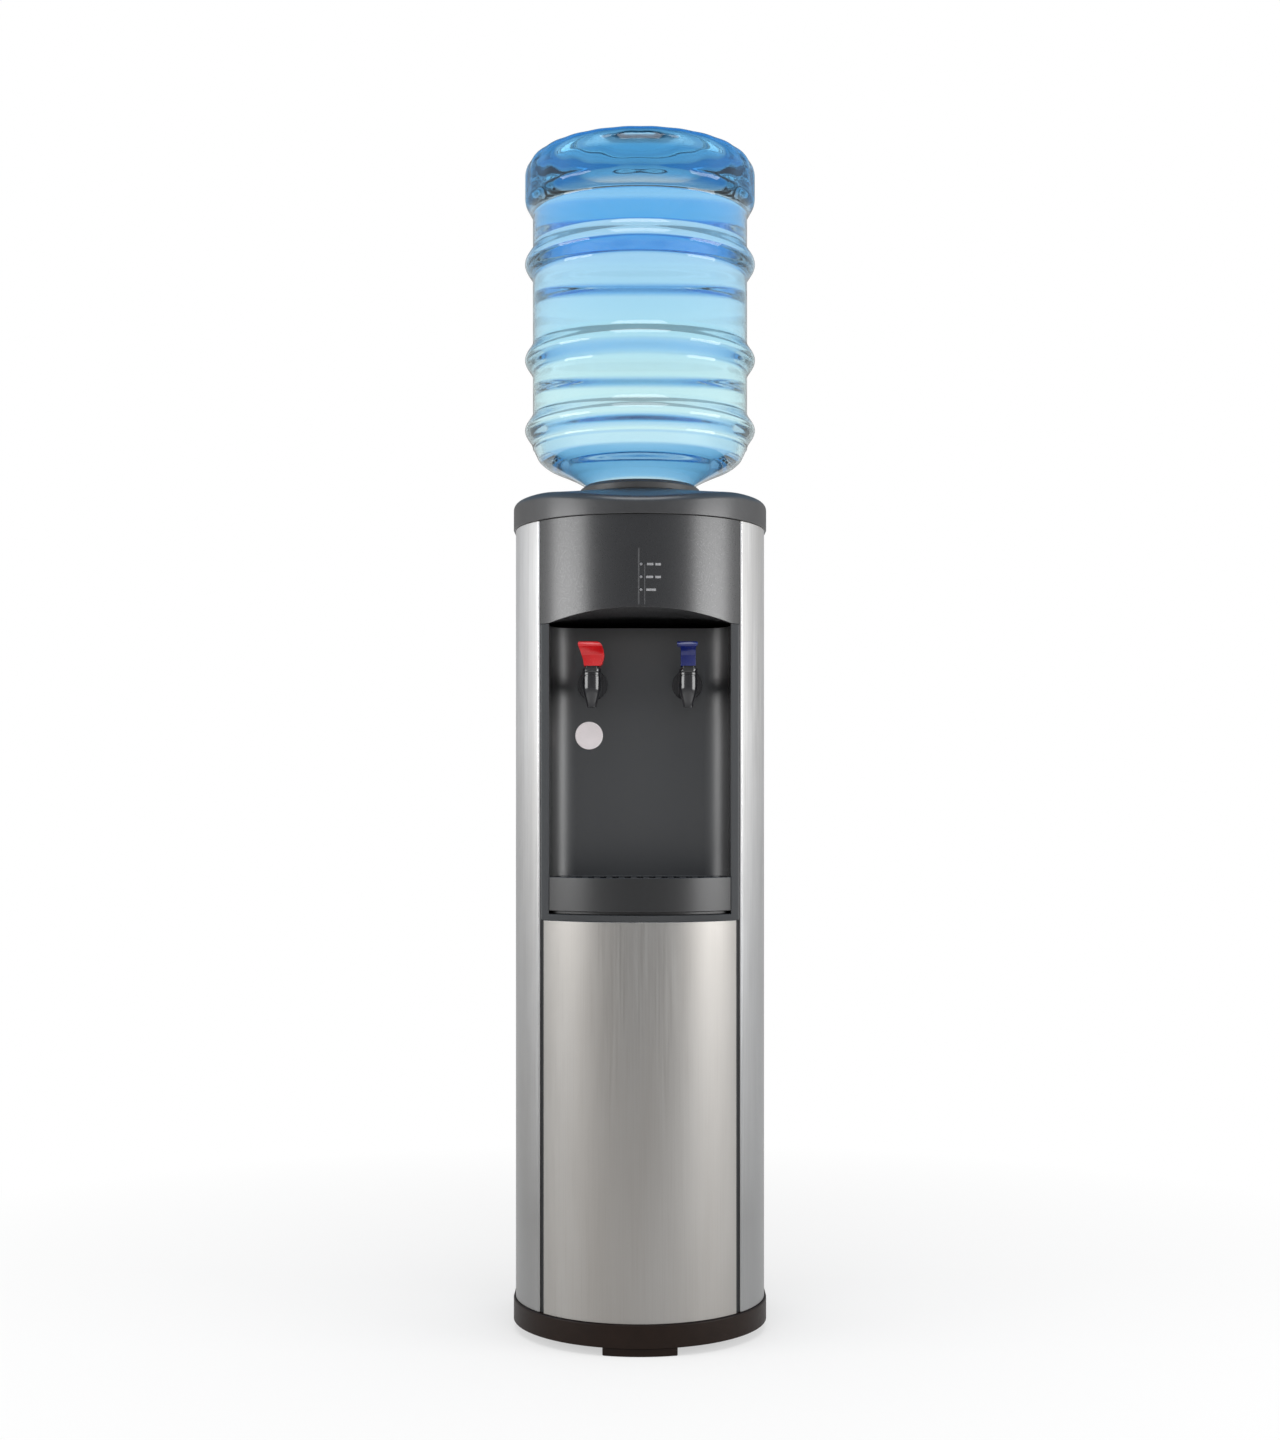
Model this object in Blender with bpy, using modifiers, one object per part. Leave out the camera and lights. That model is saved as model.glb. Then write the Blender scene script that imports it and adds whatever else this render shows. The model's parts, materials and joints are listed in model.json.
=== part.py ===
"""A top load water cooler with its bottle, as an assembly of separate pieces.

Run with blender --background --python part.py, or from Blender's text editor.
The front faces -Y, +Z is up, the floor is at zero and the origin is under the middle.
"""

import math

import bmesh
import bpy
from mathutils import Matrix, Vector

MM = 0.001

# Clearances and walls shared by the whole object
CLEARANCE = 0.3 * MM
CUT_OVERRUN = 6.0 * MM
SHEET = 1.2 * MM
MOULDED_WALL = 3.0 * MM

# Plan of the body: a half round front, straight sides and a flat back with rounded corners
BODY_RADIUS = 146.5 * MM
BODY_REAR = 130.0 * MM
REAR_CORNER = 28.0 * MM
RIM_PROUD = 2.5 * MM
FRONT_HALF_WIDTH = 113.2 * MM
SEAM_GAP = 1.8 * MM
REAR_PANEL_HALF = 102.5 * MM
FLANGE_DEPTH = 6.0 * MM
SEAM_EDGE = 4.0 * MM
FRONT_STEPS = 20
SIDE_STEPS = 8
CORNER_STEPS = 5

# Heights of the stack, from the floor up
FOOT_HEIGHT = 10.0 * MM
PLINTH_HEIGHT = 26.2 * MM
LOWER_PANEL_HEIGHT = 446.2 * MM
RAIL_HEIGHT = 7.0 * MM
TRAY_REVEAL = 3.7 * MM
TRAY_FACE_HEIGHT = 38.0 * MM
ALCOVE_HEIGHT = 286.7 * MM
FASCIA_HEIGHT = 117.7 * MM
CAP_RIM_HEIGHT = 32.0 * MM

PLINTH_TOP = FOOT_HEIGHT + PLINTH_HEIGHT
CASE_BOTTOM = PLINTH_TOP + CLEARANCE
LOWER_PANEL_TOP = CASE_BOTTOM + LOWER_PANEL_HEIGHT
LINER_BOTTOM = LOWER_PANEL_TOP + CLEARANCE
LINER_FLOOR = LINER_BOTTOM + RAIL_HEIGHT
TRAY_BOTTOM = LINER_FLOOR + CLEARANCE
TRAY_FACE_BOTTOM = TRAY_BOTTOM + TRAY_REVEAL
TRAY_TOP = TRAY_FACE_BOTTOM + TRAY_FACE_HEIGHT
LINER_TOP = TRAY_TOP + ALCOVE_HEIGHT
FASCIA_BOTTOM = LINER_TOP + CLEARANCE
FASCIA_TOP = FASCIA_BOTTOM + FASCIA_HEIGHT
CAP_BOTTOM = FASCIA_TOP + CLEARANCE
CAP_RIM = CAP_BOTTOM + CAP_RIM_HEIGHT

# Feet
FOOT_TONGUE_WIDTH = 84.0 * MM
FOOT_TONGUE_DEPTH = 34.0 * MM
FOOT_TONGUE_SET_IN = 3.0 * MM
FOOT_RADIUS = 17.0 * MM
FOOT_EDGE = 2.0 * MM
RIM_STEPS = 3
FOOT_POST_RADIUS = 8.0 * MM
FRONT_POST_SPREAD = 25.0 * MM
REAR_FOOT_SET_IN = 50.5 * MM
REAR_FOOT_SET_BACK = 38.0 * MM
REAR_FOOT_SIDE = BODY_RADIUS - REAR_FOOT_SET_IN
REAR_FOOT_BACK = BODY_REAR - REAR_FOOT_SET_BACK

# Alcove
ALCOVE_HALF_WIDTH = 103.0 * MM
ALCOVE_BACK = 50.0 * MM
ALCOVE_CORNER = 30.0 * MM
JAMB_DEPTH = 6.0 * MM
ARCH_RISE = 14.5 * MM

# Top cap
CAP_WALL = 4.0 * MM
CAP_FILLET = 9.0 * MM
CAP_DIP = 11.0 * MM
CAP_DIP_ANGLE = math.radians(54.0)
CAP_CROWN = 9.0 * MM
CAP_FILLET_STEPS = 3
CAP_LONGEST_EDGE = 28.0 * MM

# Bottle. The shoulder's shares are of the way from the neck out to the wall, and of its height
BOTTLE_WALL = 1.6 * MM
BOTTLE_RADIUS = 126.5 * MM
RIB_PROUD = 9.3 * MM
RIB_HALF_HEIGHT = 21.0 * MM
RIB_STEPS = 4
FIRST_RIB_RISE = 117.4 * MM
RIB_SPACING_LOW = 83.0 * MM
RIB_SPACING_HIGH = 113.0 * MM
TOP_BAND_SPACING = 84.5 * MM
TOP_BAND_HALF_FLAT = 17.0 * MM
BOTTLE_TOP_RISE = 42.5 * MM
BOTTLE_TOP_CORNER = 25.5 * MM
BOTTLE_TOP_DISH = 8.0 * MM
BOTTLE_TOP_LAND = 16.0 * MM
BOTTLE_DISH_SLOPE = 14.0 * MM
NECK_RADIUS = 27.5 * MM
NECK_LENGTH = 46.0 * MM
SHOULDER_HEIGHT = 98.0 * MM
SEAT_OUT_SHARE = 0.369
SEAT_RISE_SHARE = 0.531
SHOULDER_SHARES = (
    (1.0, 1.0),
    (0.955, 0.898),
    (0.914, 0.832),
    (0.813, 0.755),
    (0.652, 0.684),
    (0.5, 0.612),
    (SEAT_OUT_SHARE, SEAT_RISE_SHARE),
    (0.247, 0.418),
    (0.146, 0.286),
    (0.056, 0.133),
    (0.0, 0.0),
)
BOTTLE_STEPS = 24
BOTTLE_SEAT_GAP = 0.4 * MM

# Cap pressed on the bottle's neck, with the tube that the feed probe enters
NECK_CAP_WALL = 1.8 * MM
NECK_CAP_SKIRT = 30.0 * MM
NECK_CAP_TUBE = 20.0 * MM
PROBE_SLIP = 0.6 * MM

# Bottle collar: a sloping ring with the seat of the bottle, a funnel and a well for the neck
COLLAR_SLOPE_WIDTH = 6.4 * MM
COLLAR_RIM_HEIGHT = 6.7 * MM
COLLAR_SEAT_RISE = 4.3 * MM
COLLAR_SEAT_FLAT = 1.0 * MM
COLLAR_FLANGE = 9.4 * MM
COLLAR_SPIGOT_DEPTH = 14.0 * MM
FUNNEL_LIP_DROP = 14.0 * MM
WELL_RADIUS = 36.0 * MM
WELL_TOP_DROP = 50.0 * MM
WELL_DEPTH = 107.0 * MM
COLLAR_LAND = 2.0 * MM

COLLAR_SEAT_RADIUS = NECK_RADIUS + SEAT_OUT_SHARE * (BOTTLE_RADIUS - NECK_RADIUS)
COLLAR_RADIUS = COLLAR_SEAT_RADIUS + COLLAR_SLOPE_WIDTH
COLLAR_SPIGOT_RADIUS = COLLAR_RADIUS - COLLAR_FLANGE
COLLAR_BASE = CAP_RIM + CAP_CROWN + CLEARANCE
COLLAR_RIM = COLLAR_BASE + COLLAR_RIM_HEIGHT
COLLAR_SEAT = COLLAR_RIM + COLLAR_SEAT_RISE
WELL_BOTTOM = COLLAR_BASE - WELL_DEPTH
WELL_FLOOR = WELL_BOTTOM + MOULDED_WALL

SHOULDER_BASE = COLLAR_SEAT + BOTTLE_SEAT_GAP - SEAT_RISE_SHARE * SHOULDER_HEIGHT
NECK_END = SHOULDER_BASE - NECK_LENGTH
NECK_CAP_BOTTOM = NECK_END - CLEARANCE - NECK_CAP_WALL
FIRST_RIB = SHOULDER_BASE + FIRST_RIB_RISE
SECOND_RIB = FIRST_RIB + RIB_SPACING_LOW
THIRD_RIB = SECOND_RIB + RIB_SPACING_HIGH
TOP_BAND = THIRD_RIB + TOP_BAND_SPACING
BOTTLE_TOP = TOP_BAND + BOTTLE_TOP_RISE

# Feed probe, from the tank up into the bottle's neck
PROBE_RADIUS = 9.0 * MM
PROBE_BORE = 5.0 * MM
PROBE_FLANGE = 16.0 * MM
PROBE_FLANGE_HEIGHT = 3.0 * MM
PROBE_REACH = 40.0 * MM
PROBE_TIP = 6.0 * MM
PROBE_PORT = 3.0 * MM
PROBE_TAIL_RADIUS = 7.0 * MM
PROBE_TAIL = 10.0 * MM

# Indicator lights
LENS_RADIUS = 1.7 * MM
LENS_FLANGE_RADIUS = 3.0 * MM
LENS_FLANGE = 1.5 * MM
LENS_PROUD = 0.4 * MM
LENS_LENGTH = 9.0 * MM
LENS_SIDE = 1.1 * MM
LENS_SPACING = 14.2 * MM
TOP_LENS_DROP = 56.2 * MM
BOARD_HALF_WIDTH = 13.0 * MM
BOARD_MARGIN = 9.0 * MM
BOARD_THICKNESS = 1.6 * MM

TOP_LENS = FASCIA_TOP - TOP_LENS_DROP

# Drip tray and its grille
TRAY_WALL = 2.5 * MM
TRAY_LEDGE = 3.0 * MM
TRAY_UNDERCUT = 7.0 * MM
GRILLE_THICKNESS = 3.0 * MM
GRILLE_SET_DOWN = 1.0 * MM
GRILLE_BORDER = 9.0 * MM
GRILLE_CORNER_EXTRA = 5.8 * MM
SLOT_WIDTH = 7.0 * MM
SLOT_PITCH = 14.0 * MM
SLOTS_EACH_SIDE = 6

# Taps. Heights are above the shank's axis, places are from the tap's own upright axis
TAP_SIDE = 54.7 * MM
TAP_REACH = 48.0 * MM
TAP_DROP = 66.7 * MM
SHANK_RADIUS = 8.0 * MM
SHANK_BEHIND_WALL = 14.0 * MM
SHANK_BORE = 4.0 * MM
TAP_FLANGE_RADIUS = 17.5 * MM
TAP_FLANGE = 3.0 * MM
TAP_BODY_RADIUS = 10.8 * MM
TAP_BODY_TOP = 11.0 * MM
TAP_TAPER_TOP = 6.0 * MM
TAP_TAPER_FOOT = 17.0 * MM
NOZZLE_RADIUS = 5.2 * MM
NOZZLE_END = 28.0 * MM
NOZZLE_BORE = 3.2 * MM
VALVE_BORE = 7.6 * MM
VALVE_SEAT_DROP = 8.5 * MM
VALVE_CUP_RADIUS = 5.6 * MM
VALVE_CUP_HEIGHT = 3.0 * MM
BONNET_FLANGE = 4.4 * MM
BONNET_PLUG = 6.0 * MM
STEM_RADIUS = 2.0 * MM
STEM_HEAD_RADIUS = 6.0 * MM
STEM_HEAD = 3.0 * MM
STEM_HEAD_RISE = 8.6 * MM
SPRING_WIRE = 0.6 * MM
SPRING_RADIUS = 4.6 * MM
SPRING_TURNS = 5
TOWER_HALF_WIDTH = 6.2 * MM
TOWER_DEPTH = 7.2 * MM
TOWER_SET_FORWARD = 10.3 * MM
PIVOT_RISE = 7.3 * MM
TOWER_OVER_PIVOT = 3.6 * MM
PIN_RADIUS = 1.5 * MM
PIN_HALF_LENGTH = 8.3 * MM
NUT_RADIUS = 13.0 * MM
NUT_THICKNESS = 6.0 * MM

TAP_HEIGHT = LINER_TOP - TAP_DROP
TAP_AXIS = ALCOVE_BACK + TAP_REACH
BONNET_TOP = TAP_BODY_TOP + CLEARANCE + BONNET_FLANGE
PIVOT_HEIGHT = BONNET_TOP + PIVOT_RISE

# Levers. The shares are of the lever's width, reach and height, by hand after their outlines
LEVER_WIDTH = 20.0 * MM
LEVER_REACH = 30.0 * MM
LEVER_HEIGHT = 28.0 * MM
LEVER_OVER_BONNET = 2.3 * MM
LEVER_SLOT_FRONT = 5.6 * MM
LEVER_ROOF = 14.3 * MM
LEVER_EDGE = 0.8 * MM
LIFT_BAR = 3.0 * MM
LIFT_GAP = 0.8 * MM
COLD_FRONT_SHARES = (
    (0.43, 0.0),
    (0.43, 0.78),
    (0.5, 0.84),
    (0.5, 0.98),
    (0.46, 1.0),
    (-0.66, 1.0),
    (-0.7, 0.97),
    (-0.68, 0.86),
    (-0.56, 0.78),
    (-0.53, 0.0),
)
HOT_FRONT_SHARES = (
    (0.46, 0.0),
    (0.58, 0.07),
    (0.69, 0.43),
    (0.63, 0.71),
    (0.41, 0.98),
    (-0.84, 1.0),
    (-0.9, 0.9),
    (-0.66, 0.55),
    (-0.5, 0.23),
    (-0.47, 0.0),
)
LEVER_SIDE_SHARES = (
    (0.23, 0.0),
    (0.23, 0.54),
    (0.1, 0.72),
    (-0.33, 0.86),
    (-0.73, 1.0),
    (-0.93, 0.98),
    (-1.0, 0.89),
    (-0.97, 0.8),
    (-0.75, 0.64),
    (-0.62, 0.43),
    (-0.6, 0.0),
)
CATCH_WIDTH = 9.4 * MM
CATCH_LENGTH = 8.4 * MM
CATCH_TRAVEL = 3.0 * MM
CATCH_BEHIND_FRONT = 3.0 * MM
CATCH_FLOOR = 18.0 * MM
CATCH_HEIGHT = 8.0 * MM

# Tanks, their shelf and hoses
TANK_BACK = 40.0 * MM
TANK_WALL = 1.2 * MM
TANK_EDGE = 8.0 * MM
COLD_TANK_RADIUS = 56.0 * MM
COLD_TANK_HEIGHT = 172.0 * MM
TANK_UNDER_WELL = 8.0 * MM
COIL_WIRE = 3.0 * MM
COIL_TURNS = 5
COIL_STEPS = 16
COIL_RISE = 10.0 * MM
COIL_PITCH = 26.0 * MM
FOAM_WALL = 9.0 * MM
FOAM_STEPS = 28
FOAM_FLOOR = 14.4 * MM
FOAM_BELOW_TOP = 6.0 * MM
SHELF_FRONT = 12.0 * MM
SHELF_THICKNESS = 2.0 * MM
NECK_PIPE_RADIUS = 9.0 * MM
NECK_PIPE_BORE = 6.0 * MM
HOT_TANK_RADIUS = 42.0 * MM
HOT_TANK_HEIGHT = 165.0 * MM
HEATER_THICKNESS = 3.0 * MM
HEATER_RISE = 25.0 * MM
HEATER_HEIGHT = 45.0 * MM
THERMOSTAT_RADIUS = 8.0 * MM
THERMOSTAT_DEPTH = 8.0 * MM
THERMOSTAT_RISE = 115.0 * MM
SPIGOT_RADIUS = 4.0 * MM
SPIGOT_BORE = 2.4 * MM
SPIGOT_LENGTH = 11.0 * MM
COLD_SPIGOT_SIDE = 30.0 * MM
COLD_SPIGOT_RISE = 14.0 * MM
COLD_SPIGOT_PAST_FOAM = 3.0 * MM
HOT_SPIGOT_SIDE = 20.0 * MM
HOT_SPIGOT_DROP = 30.0 * MM
HOSE_RADIUS = 4.4 * MM
HOSE_LEAD = 8.0 * MM
HOSE_BACK = 14.0 * MM
HOSE_DIP = 7.0 * MM
HOSE_STEPS = 3

COLD_TANK_TOP = WELL_BOTTOM - TANK_UNDER_WELL
COLD_TANK_BOTTOM = COLD_TANK_TOP - COLD_TANK_HEIGHT
COIL_RADIUS = (COLD_TANK_RADIUS + CLEARANCE + COIL_WIRE) / math.cos(math.pi / COIL_STEPS)
FOAM_INNER = (COIL_RADIUS + COIL_WIRE + CLEARANCE) / math.cos(math.pi / FOAM_STEPS)
FOAM_RADIUS = FOAM_INNER + FOAM_WALL
FOAM_BOTTOM = COLD_TANK_BOTTOM - CLEARANCE - FOAM_FLOOR
SHELF_TOP = FOAM_BOTTOM - CLEARANCE
HOT_TANK_TOP = SHELF_TOP - SHELF_THICKNESS - CLEARANCE
HOT_TANK_BOTTOM = HOT_TANK_TOP - HOT_TANK_HEIGHT

# Compressor on its grommets
COMPRESSOR_RADIUS = 60.0 * MM
COMPRESSOR_HEIGHT = 152.0 * MM
COMPRESSOR_WALL = 3.0 * MM
COMPRESSOR_DOME = 26.0 * MM
COMPRESSOR_PLATE = 3.0 * MM
PLATE_HALF_WIDTH = 78.0 * MM
PLATE_HALF_DEPTH = 56.0 * MM
PLATE_SUNK = 1.0 * MM
OIL_HOLE = 10.0 * MM
STUB_SIDE = 34.0 * MM
STUB_RADIUS = 5.0 * MM
STUB_HEIGHT = 9.0 * MM
STUB_SUNK = 14.0 * MM
GROMMET_RADIUS = 9.0 * MM
GROMMET_BORE = 3.5 * MM
GROMMET_HEIGHT = 11.0 * MM
GROMMET_SIDE = 64.0 * MM
GROMMET_FORE = 42.0 * MM

GROMMET_BOTTOM = PLINTH_TOP + CLEARANCE
PLATE_BOTTOM = GROMMET_BOTTOM + GROMMET_HEIGHT + CLEARANCE
COMPRESSOR_BOTTOM = PLATE_BOTTOM + COMPRESSOR_PLATE - PLATE_SUNK
STUB_TOP = COMPRESSOR_BOTTOM + COMPRESSOR_HEIGHT + STUB_HEIGHT

# Condenser behind the rear panel
CONDENSER_TUBE = 2.4 * MM
CONDENSER_BACK = 145.0 * MM
CONDENSER_HALF_RUN = 51.0 * MM
CONDENSER_PITCH = 44.0 * MM
CONDENSER_ROWS = 16
CONDENSER_FOOT = 130.0 * MM
BEND_STEPS = 4
BRACKET_FOOT = 14.0 * MM
BRACKET_PAST_COIL = 18.0 * MM
BRACKET_REAR = 149.0 * MM
PIPE_HOLE_DROP = 22.0 * MM
PIPE_SIDE = 66.0 * MM

# Rear panel fittings
HOUSING_HALF_WIDTH = 33.0 * MM
HOUSING_HALF_HEIGHT = 19.0 * MM
HOUSING_DEPTH = 16.0 * MM
HOUSING_BEZEL = 3.0 * MM
HOUSING_BEZEL_DEPTH = 2.0 * MM
HOUSING_DROP = 46.0 * MM
HOUSING_FLOOR = 3.0 * MM
ROCKER_SIDE = 16.0 * MM
ROCKER_HALF_WIDTH = 9.7 * MM
POCKET_HALF_HEIGHT = 15.2 * MM
ROCKER_DEPTH = 7.5 * MM
ROCKER_HALF_HEIGHT = 14.0 * MM
ROCKER_BACK_HALF = 8.0 * MM
ROCKER_WAIST = 5.0 * MM
ROCKER_BACK_DEPTH = 6.0 * MM
ROCKER_TILT = math.radians(6.0)
ROCKER_SET_IN = 3.0 * MM
OUTLET_HEIGHT = 70.0 * MM
GLAND_SIDE = 58.0 * MM
GLAND_FLANGE_RADIUS = 11.0 * MM
GLAND_FLANGE = 3.5 * MM
GLAND_RADIUS = 7.7 * MM
GLAND_BORE = 3.8 * MM
GLAND_INSIDE = 12.0 * MM
GLAND_NOSE = 8.0 * MM
DRAIN_FLANGE_RADIUS = 13.0 * MM
DRAIN_FLANGE = 2.7 * MM
DRAIN_RADIUS = 6.0 * MM
DRAIN_BORE = 4.0 * MM
DRAIN_NOSE = 9.0 * MM
DRAIN_INSIDE = 5.0 * MM
PLUG_RADIUS = 9.5 * MM
PLUG_END = 2.5 * MM
DRAIN_PIPE_RADIUS = 5.0 * MM
DRAIN_PIPE_BACK = 114.0 * MM
VENT_SLOTS = 5
VENT_HALF_LENGTH = 22.0 * MM
VENT_HEIGHT = 4.0 * MM
VENT_PITCH = 9.0 * MM
VENT_SIDE = 58.0 * MM


PARTS = None
CUTTERS = None


def start_scene():
    """Empties the scene and makes the collection of pieces and the one of cutters."""
    global PARTS, CUTTERS
    for old in list(bpy.data.objects):
        bpy.data.objects.remove(old, do_unlink=True)
    PARTS = bpy.data.collections.new("water_cooler")
    CUTTERS = bpy.data.collections.new("cutters")
    bpy.context.scene.collection.children.link(PARTS)
    bpy.context.scene.collection.children.link(CUTTERS)


# Materials, each made once and shared by the pieces of that material


def material(name, colour, roughness, metallic=0.0, transmission=0.0):
    found = bpy.data.materials.get(name)
    if found:
        return found
    made = bpy.data.materials.new(name)
    made.use_nodes = True
    made.diffuse_color = (*colour, 1.0)
    shader = made.node_tree.nodes["Principled BSDF"]
    shader.inputs["Base Color"].default_value = (*colour, 1.0)
    shader.inputs["Roughness"].default_value = roughness
    shader.inputs["Metallic"].default_value = metallic
    shader.inputs["Transmission Weight"].default_value = transmission
    return made


def brushed_steel():
    return material("brushed steel", (0.55, 0.54, 0.52), 0.32, metallic=1.0)


def side_steel():
    return material("silver painted steel", (0.62, 0.63, 0.64), 0.35, metallic=0.8)


def grey_plastic():
    return material("mid grey plastic", (0.10, 0.10, 0.105), 0.42)


def dark_plastic():
    return material("dark grey plastic", (0.035, 0.035, 0.04), 0.3)


def black_plastic():
    return material("gloss black plastic", (0.008, 0.008, 0.009), 0.15)


def base_plastic():
    return material("brown black plastic", (0.014, 0.01, 0.008), 0.4)


def red_plastic():
    return material("red plastic", (0.75, 0.012, 0.012), 0.3)


def blue_plastic():
    return material("blue plastic", (0.012, 0.03, 0.22), 0.3)


def white_plastic():
    return material("white plastic", (0.75, 0.75, 0.73), 0.4)


def bottle_plastic():
    return material("clear blue polycarbonate", (0.32, 0.68, 0.95), 0.08, transmission=0.9)


def stainless():
    return material("stainless steel", (0.6, 0.6, 0.6), 0.25, metallic=1.0)


def galvanised():
    return material("galvanised steel", (0.45, 0.46, 0.47), 0.45, metallic=0.9)


def copper():
    return material("copper", (0.65, 0.3, 0.16), 0.3, metallic=1.0)


def black_enamel():
    return material("black enamel", (0.012, 0.012, 0.013), 0.35)


def rubber():
    return material("black rubber", (0.02, 0.02, 0.02), 0.8)


def silicone():
    return material("clear silicone", (0.7, 0.72, 0.7), 0.45, transmission=0.3)


def foam():
    return material("white foam", (0.8, 0.8, 0.78), 0.9)


def circuit_green():
    return material("circuit board green", (0.02, 0.16, 0.06), 0.5)


# Modelling helpers


def placed(name, mesh, look, collection=None):
    """An object of this mesh among the pieces or in a collection, smooth off its sharp edges."""
    made = bpy.data.objects.new(name, mesh)
    (collection or PARTS).objects.link(made)
    if look:
        mesh.materials.append(look)
    mesh.shade_smooth()
    mesh.set_sharp_from_angle(angle=math.radians(35.0))
    return made


def mesh_of(name, build):
    """A mesh that the function build fills through bmesh, with its faces turned outwards."""
    work = bmesh.new()
    build(work)
    mesh = bpy.data.meshes.new(name)
    work.to_mesh(mesh)
    work.free()
    return mesh


def as_cutter(obj):
    """Moves an object to the cutters and hides it from the render."""
    for home in list(obj.users_collection):
        home.objects.unlink(obj)
    CUTTERS.objects.link(obj)
    obj.hide_render = True
    obj.display_type = "WIRE"
    return obj


def boolean(target, other, operation):
    step = target.modifiers.new(f"{operation.lower()} {other.name}", "BOOLEAN")
    step.operation = operation
    step.object = as_cutter(other)


def cut(target, *others):
    for other in others:
        boolean(target, other, "DIFFERENCE")


def join(target, *others):
    for other in others:
        boolean(target, other, "UNION")


def keep_common(target, other):
    boolean(target, other, "INTERSECT")


def bevel(obj, width, segments=1, angle=60.0):
    """Rounds the edges sharper than the angle, in degrees."""
    step = obj.modifiers.new("bevel", "BEVEL")
    step.width = width
    step.segments = segments
    step.limit_method = "ANGLE"
    step.angle_limit = math.radians(angle)
    return obj


def solidify(obj, thickness):
    """Gives an open surface its thickness, behind the side that its faces point to."""
    step = obj.modifiers.new("thickness", "SOLIDIFY")
    step.thickness = thickness
    step.offset = -1.0
    step.use_even_offset = True
    return obj


def prism(name, outline, low, high, look=None, plane="XY"):
    """A closed outline extruded between two levels, along Z, or along Y or X for an outline in XZ or YZ."""
    turn = {
        "XY": Matrix(((1, 0, 0), (0, 1, 0), (0, 0, 1))),
        "XZ": Matrix(((1, 0, 0), (0, 0, 1), (0, 1, 0))),
        "YZ": Matrix(((0, 0, 1), (1, 0, 0), (0, 1, 0))),
    }[plane]

    def build(work):
        bottom = work.faces.new([work.verts.new(turn @ Vector((a, b, low))) for a, b in outline])
        grown = bmesh.ops.extrude_face_region(work, geom=[bottom])
        top = [item for item in grown["geom"] if isinstance(item, bmesh.types.BMVert)]
        bmesh.ops.translate(work, verts=top, vec=turn @ Vector((0, 0, high - low)))
        bmesh.ops.recalc_face_normals(work, faces=work.faces)

    return placed(name, mesh_of(name, build), look)


def block(name, low, high, look=None):
    """A box between two corners."""
    middle = (Vector(low) + Vector(high)) / 2
    size = Vector(high) - Vector(low)

    def build(work):
        bmesh.ops.create_cube(work, size=1, matrix=Matrix.LocRotScale(middle, None, size))

    return placed(name, mesh_of(name, build), look)


def rod(name, start, end, radius, look=None, sides=16, end_radius=None):
    """A round bar, or a cone, from one point to another."""
    start = Vector(start)
    along = Vector(end) - start
    turn = along.to_track_quat("Z", "Y")

    def build(work):
        bmesh.ops.create_cone(
            work,
            cap_ends=True,
            segments=sides,
            radius1=radius,
            radius2=radius if end_radius is None else end_radius,
            depth=along.length,
            matrix=Matrix.LocRotScale(start + along / 2, turn, None),
        )

    return placed(name, mesh_of(name, build), look)


def turned(name, profile, centre, look=None, steps=24, closed=False, axis="Z"):
    """A profile of (radius, height) turned about an axis through centre. It runs down its outer side."""
    mesh = bpy.data.meshes.new(name)
    edges = [(i, i + 1) for i in range(len(profile) - 1)]
    if closed:
        edges.append((len(profile) - 1, 0))
    mesh.from_pydata([(radius, 0, height) for radius, height in profile], edges, [])
    made = placed(name, mesh, look)
    made.location = centre
    if axis == "Y":
        made.rotation_euler = (-math.pi / 2, 0, 0)
    if axis == "-Y":
        made.rotation_euler = (math.pi / 2, 0, 0)
    if axis == "X":
        made.rotation_euler = (0, math.pi / 2, 0)
    step = made.modifiers.new("turn", "SCREW")
    step.steps = steps
    step.render_steps = steps
    step.use_merge_vertices = True
    step.merge_threshold = 0.00001
    step.use_smooth_shade = True
    return made


def tube(name, points, radius, look, sides_level=2):
    """A tube along a line of points, as a curve with filled ends."""
    curve = bpy.data.curves.new(name, "CURVE")
    curve.dimensions = "3D"
    curve.bevel_depth = radius
    curve.bevel_resolution = sides_level
    curve.use_fill_caps = True
    line = curve.splines.new("POLY")
    line.points.add(len(points) - 1)
    for spot, point in zip(line.points, points):
        spot.co = (*point, 1.0)
    made = bpy.data.objects.new(name, curve)
    PARTS.objects.link(made)
    curve.materials.append(look)
    return made


def smooth_route(stops, steps):
    """Points on a smooth curve through the stops, with straight first and last stretches."""
    stops = [Vector(stop) for stop in stops]
    route = [stops[0]]
    for before, here, there, after in zip(stops, stops[1:], stops[2:], stops[3:]):
        for step in range(steps):
            t = step / steps
            route.append(
                here
                + (there - before) * (t / 2)
                + (before - 2.5 * here + 2 * there - after / 2) * t**2
                + (1.5 * (here - there) + (after - before) / 2) * t**3
            )
    return [*route, *stops[-2:]]


def arc(centre, radius, start, end, steps):
    """Points on an arc, both ends included, with angles in radians."""
    return [
        (
            centre[0] + radius * math.cos(start + (end - start) * step / steps),
            centre[1] + radius * math.sin(start + (end - start) * step / steps),
        )
        for step in range(steps + 1)
    ]


def mirrored(points):
    """The outline's other side across the middle plane, in the order that keeps it facing out."""
    return [(-x, y) for x, y in reversed(points)]


def right_side(inset, start):
    """The body's plan on the right, from the angle start at the front round to the end of the rear corner."""
    radius = BODY_RADIUS - inset
    corner = REAR_CORNER - inset
    bend = (radius - corner, BODY_REAR - inset - corner)
    return [
        *arc((0, 0), radius, start, 0, SIDE_STEPS),
        *arc(bend, corner, 0, math.pi / 2, CORNER_STEPS),
    ]


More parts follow.
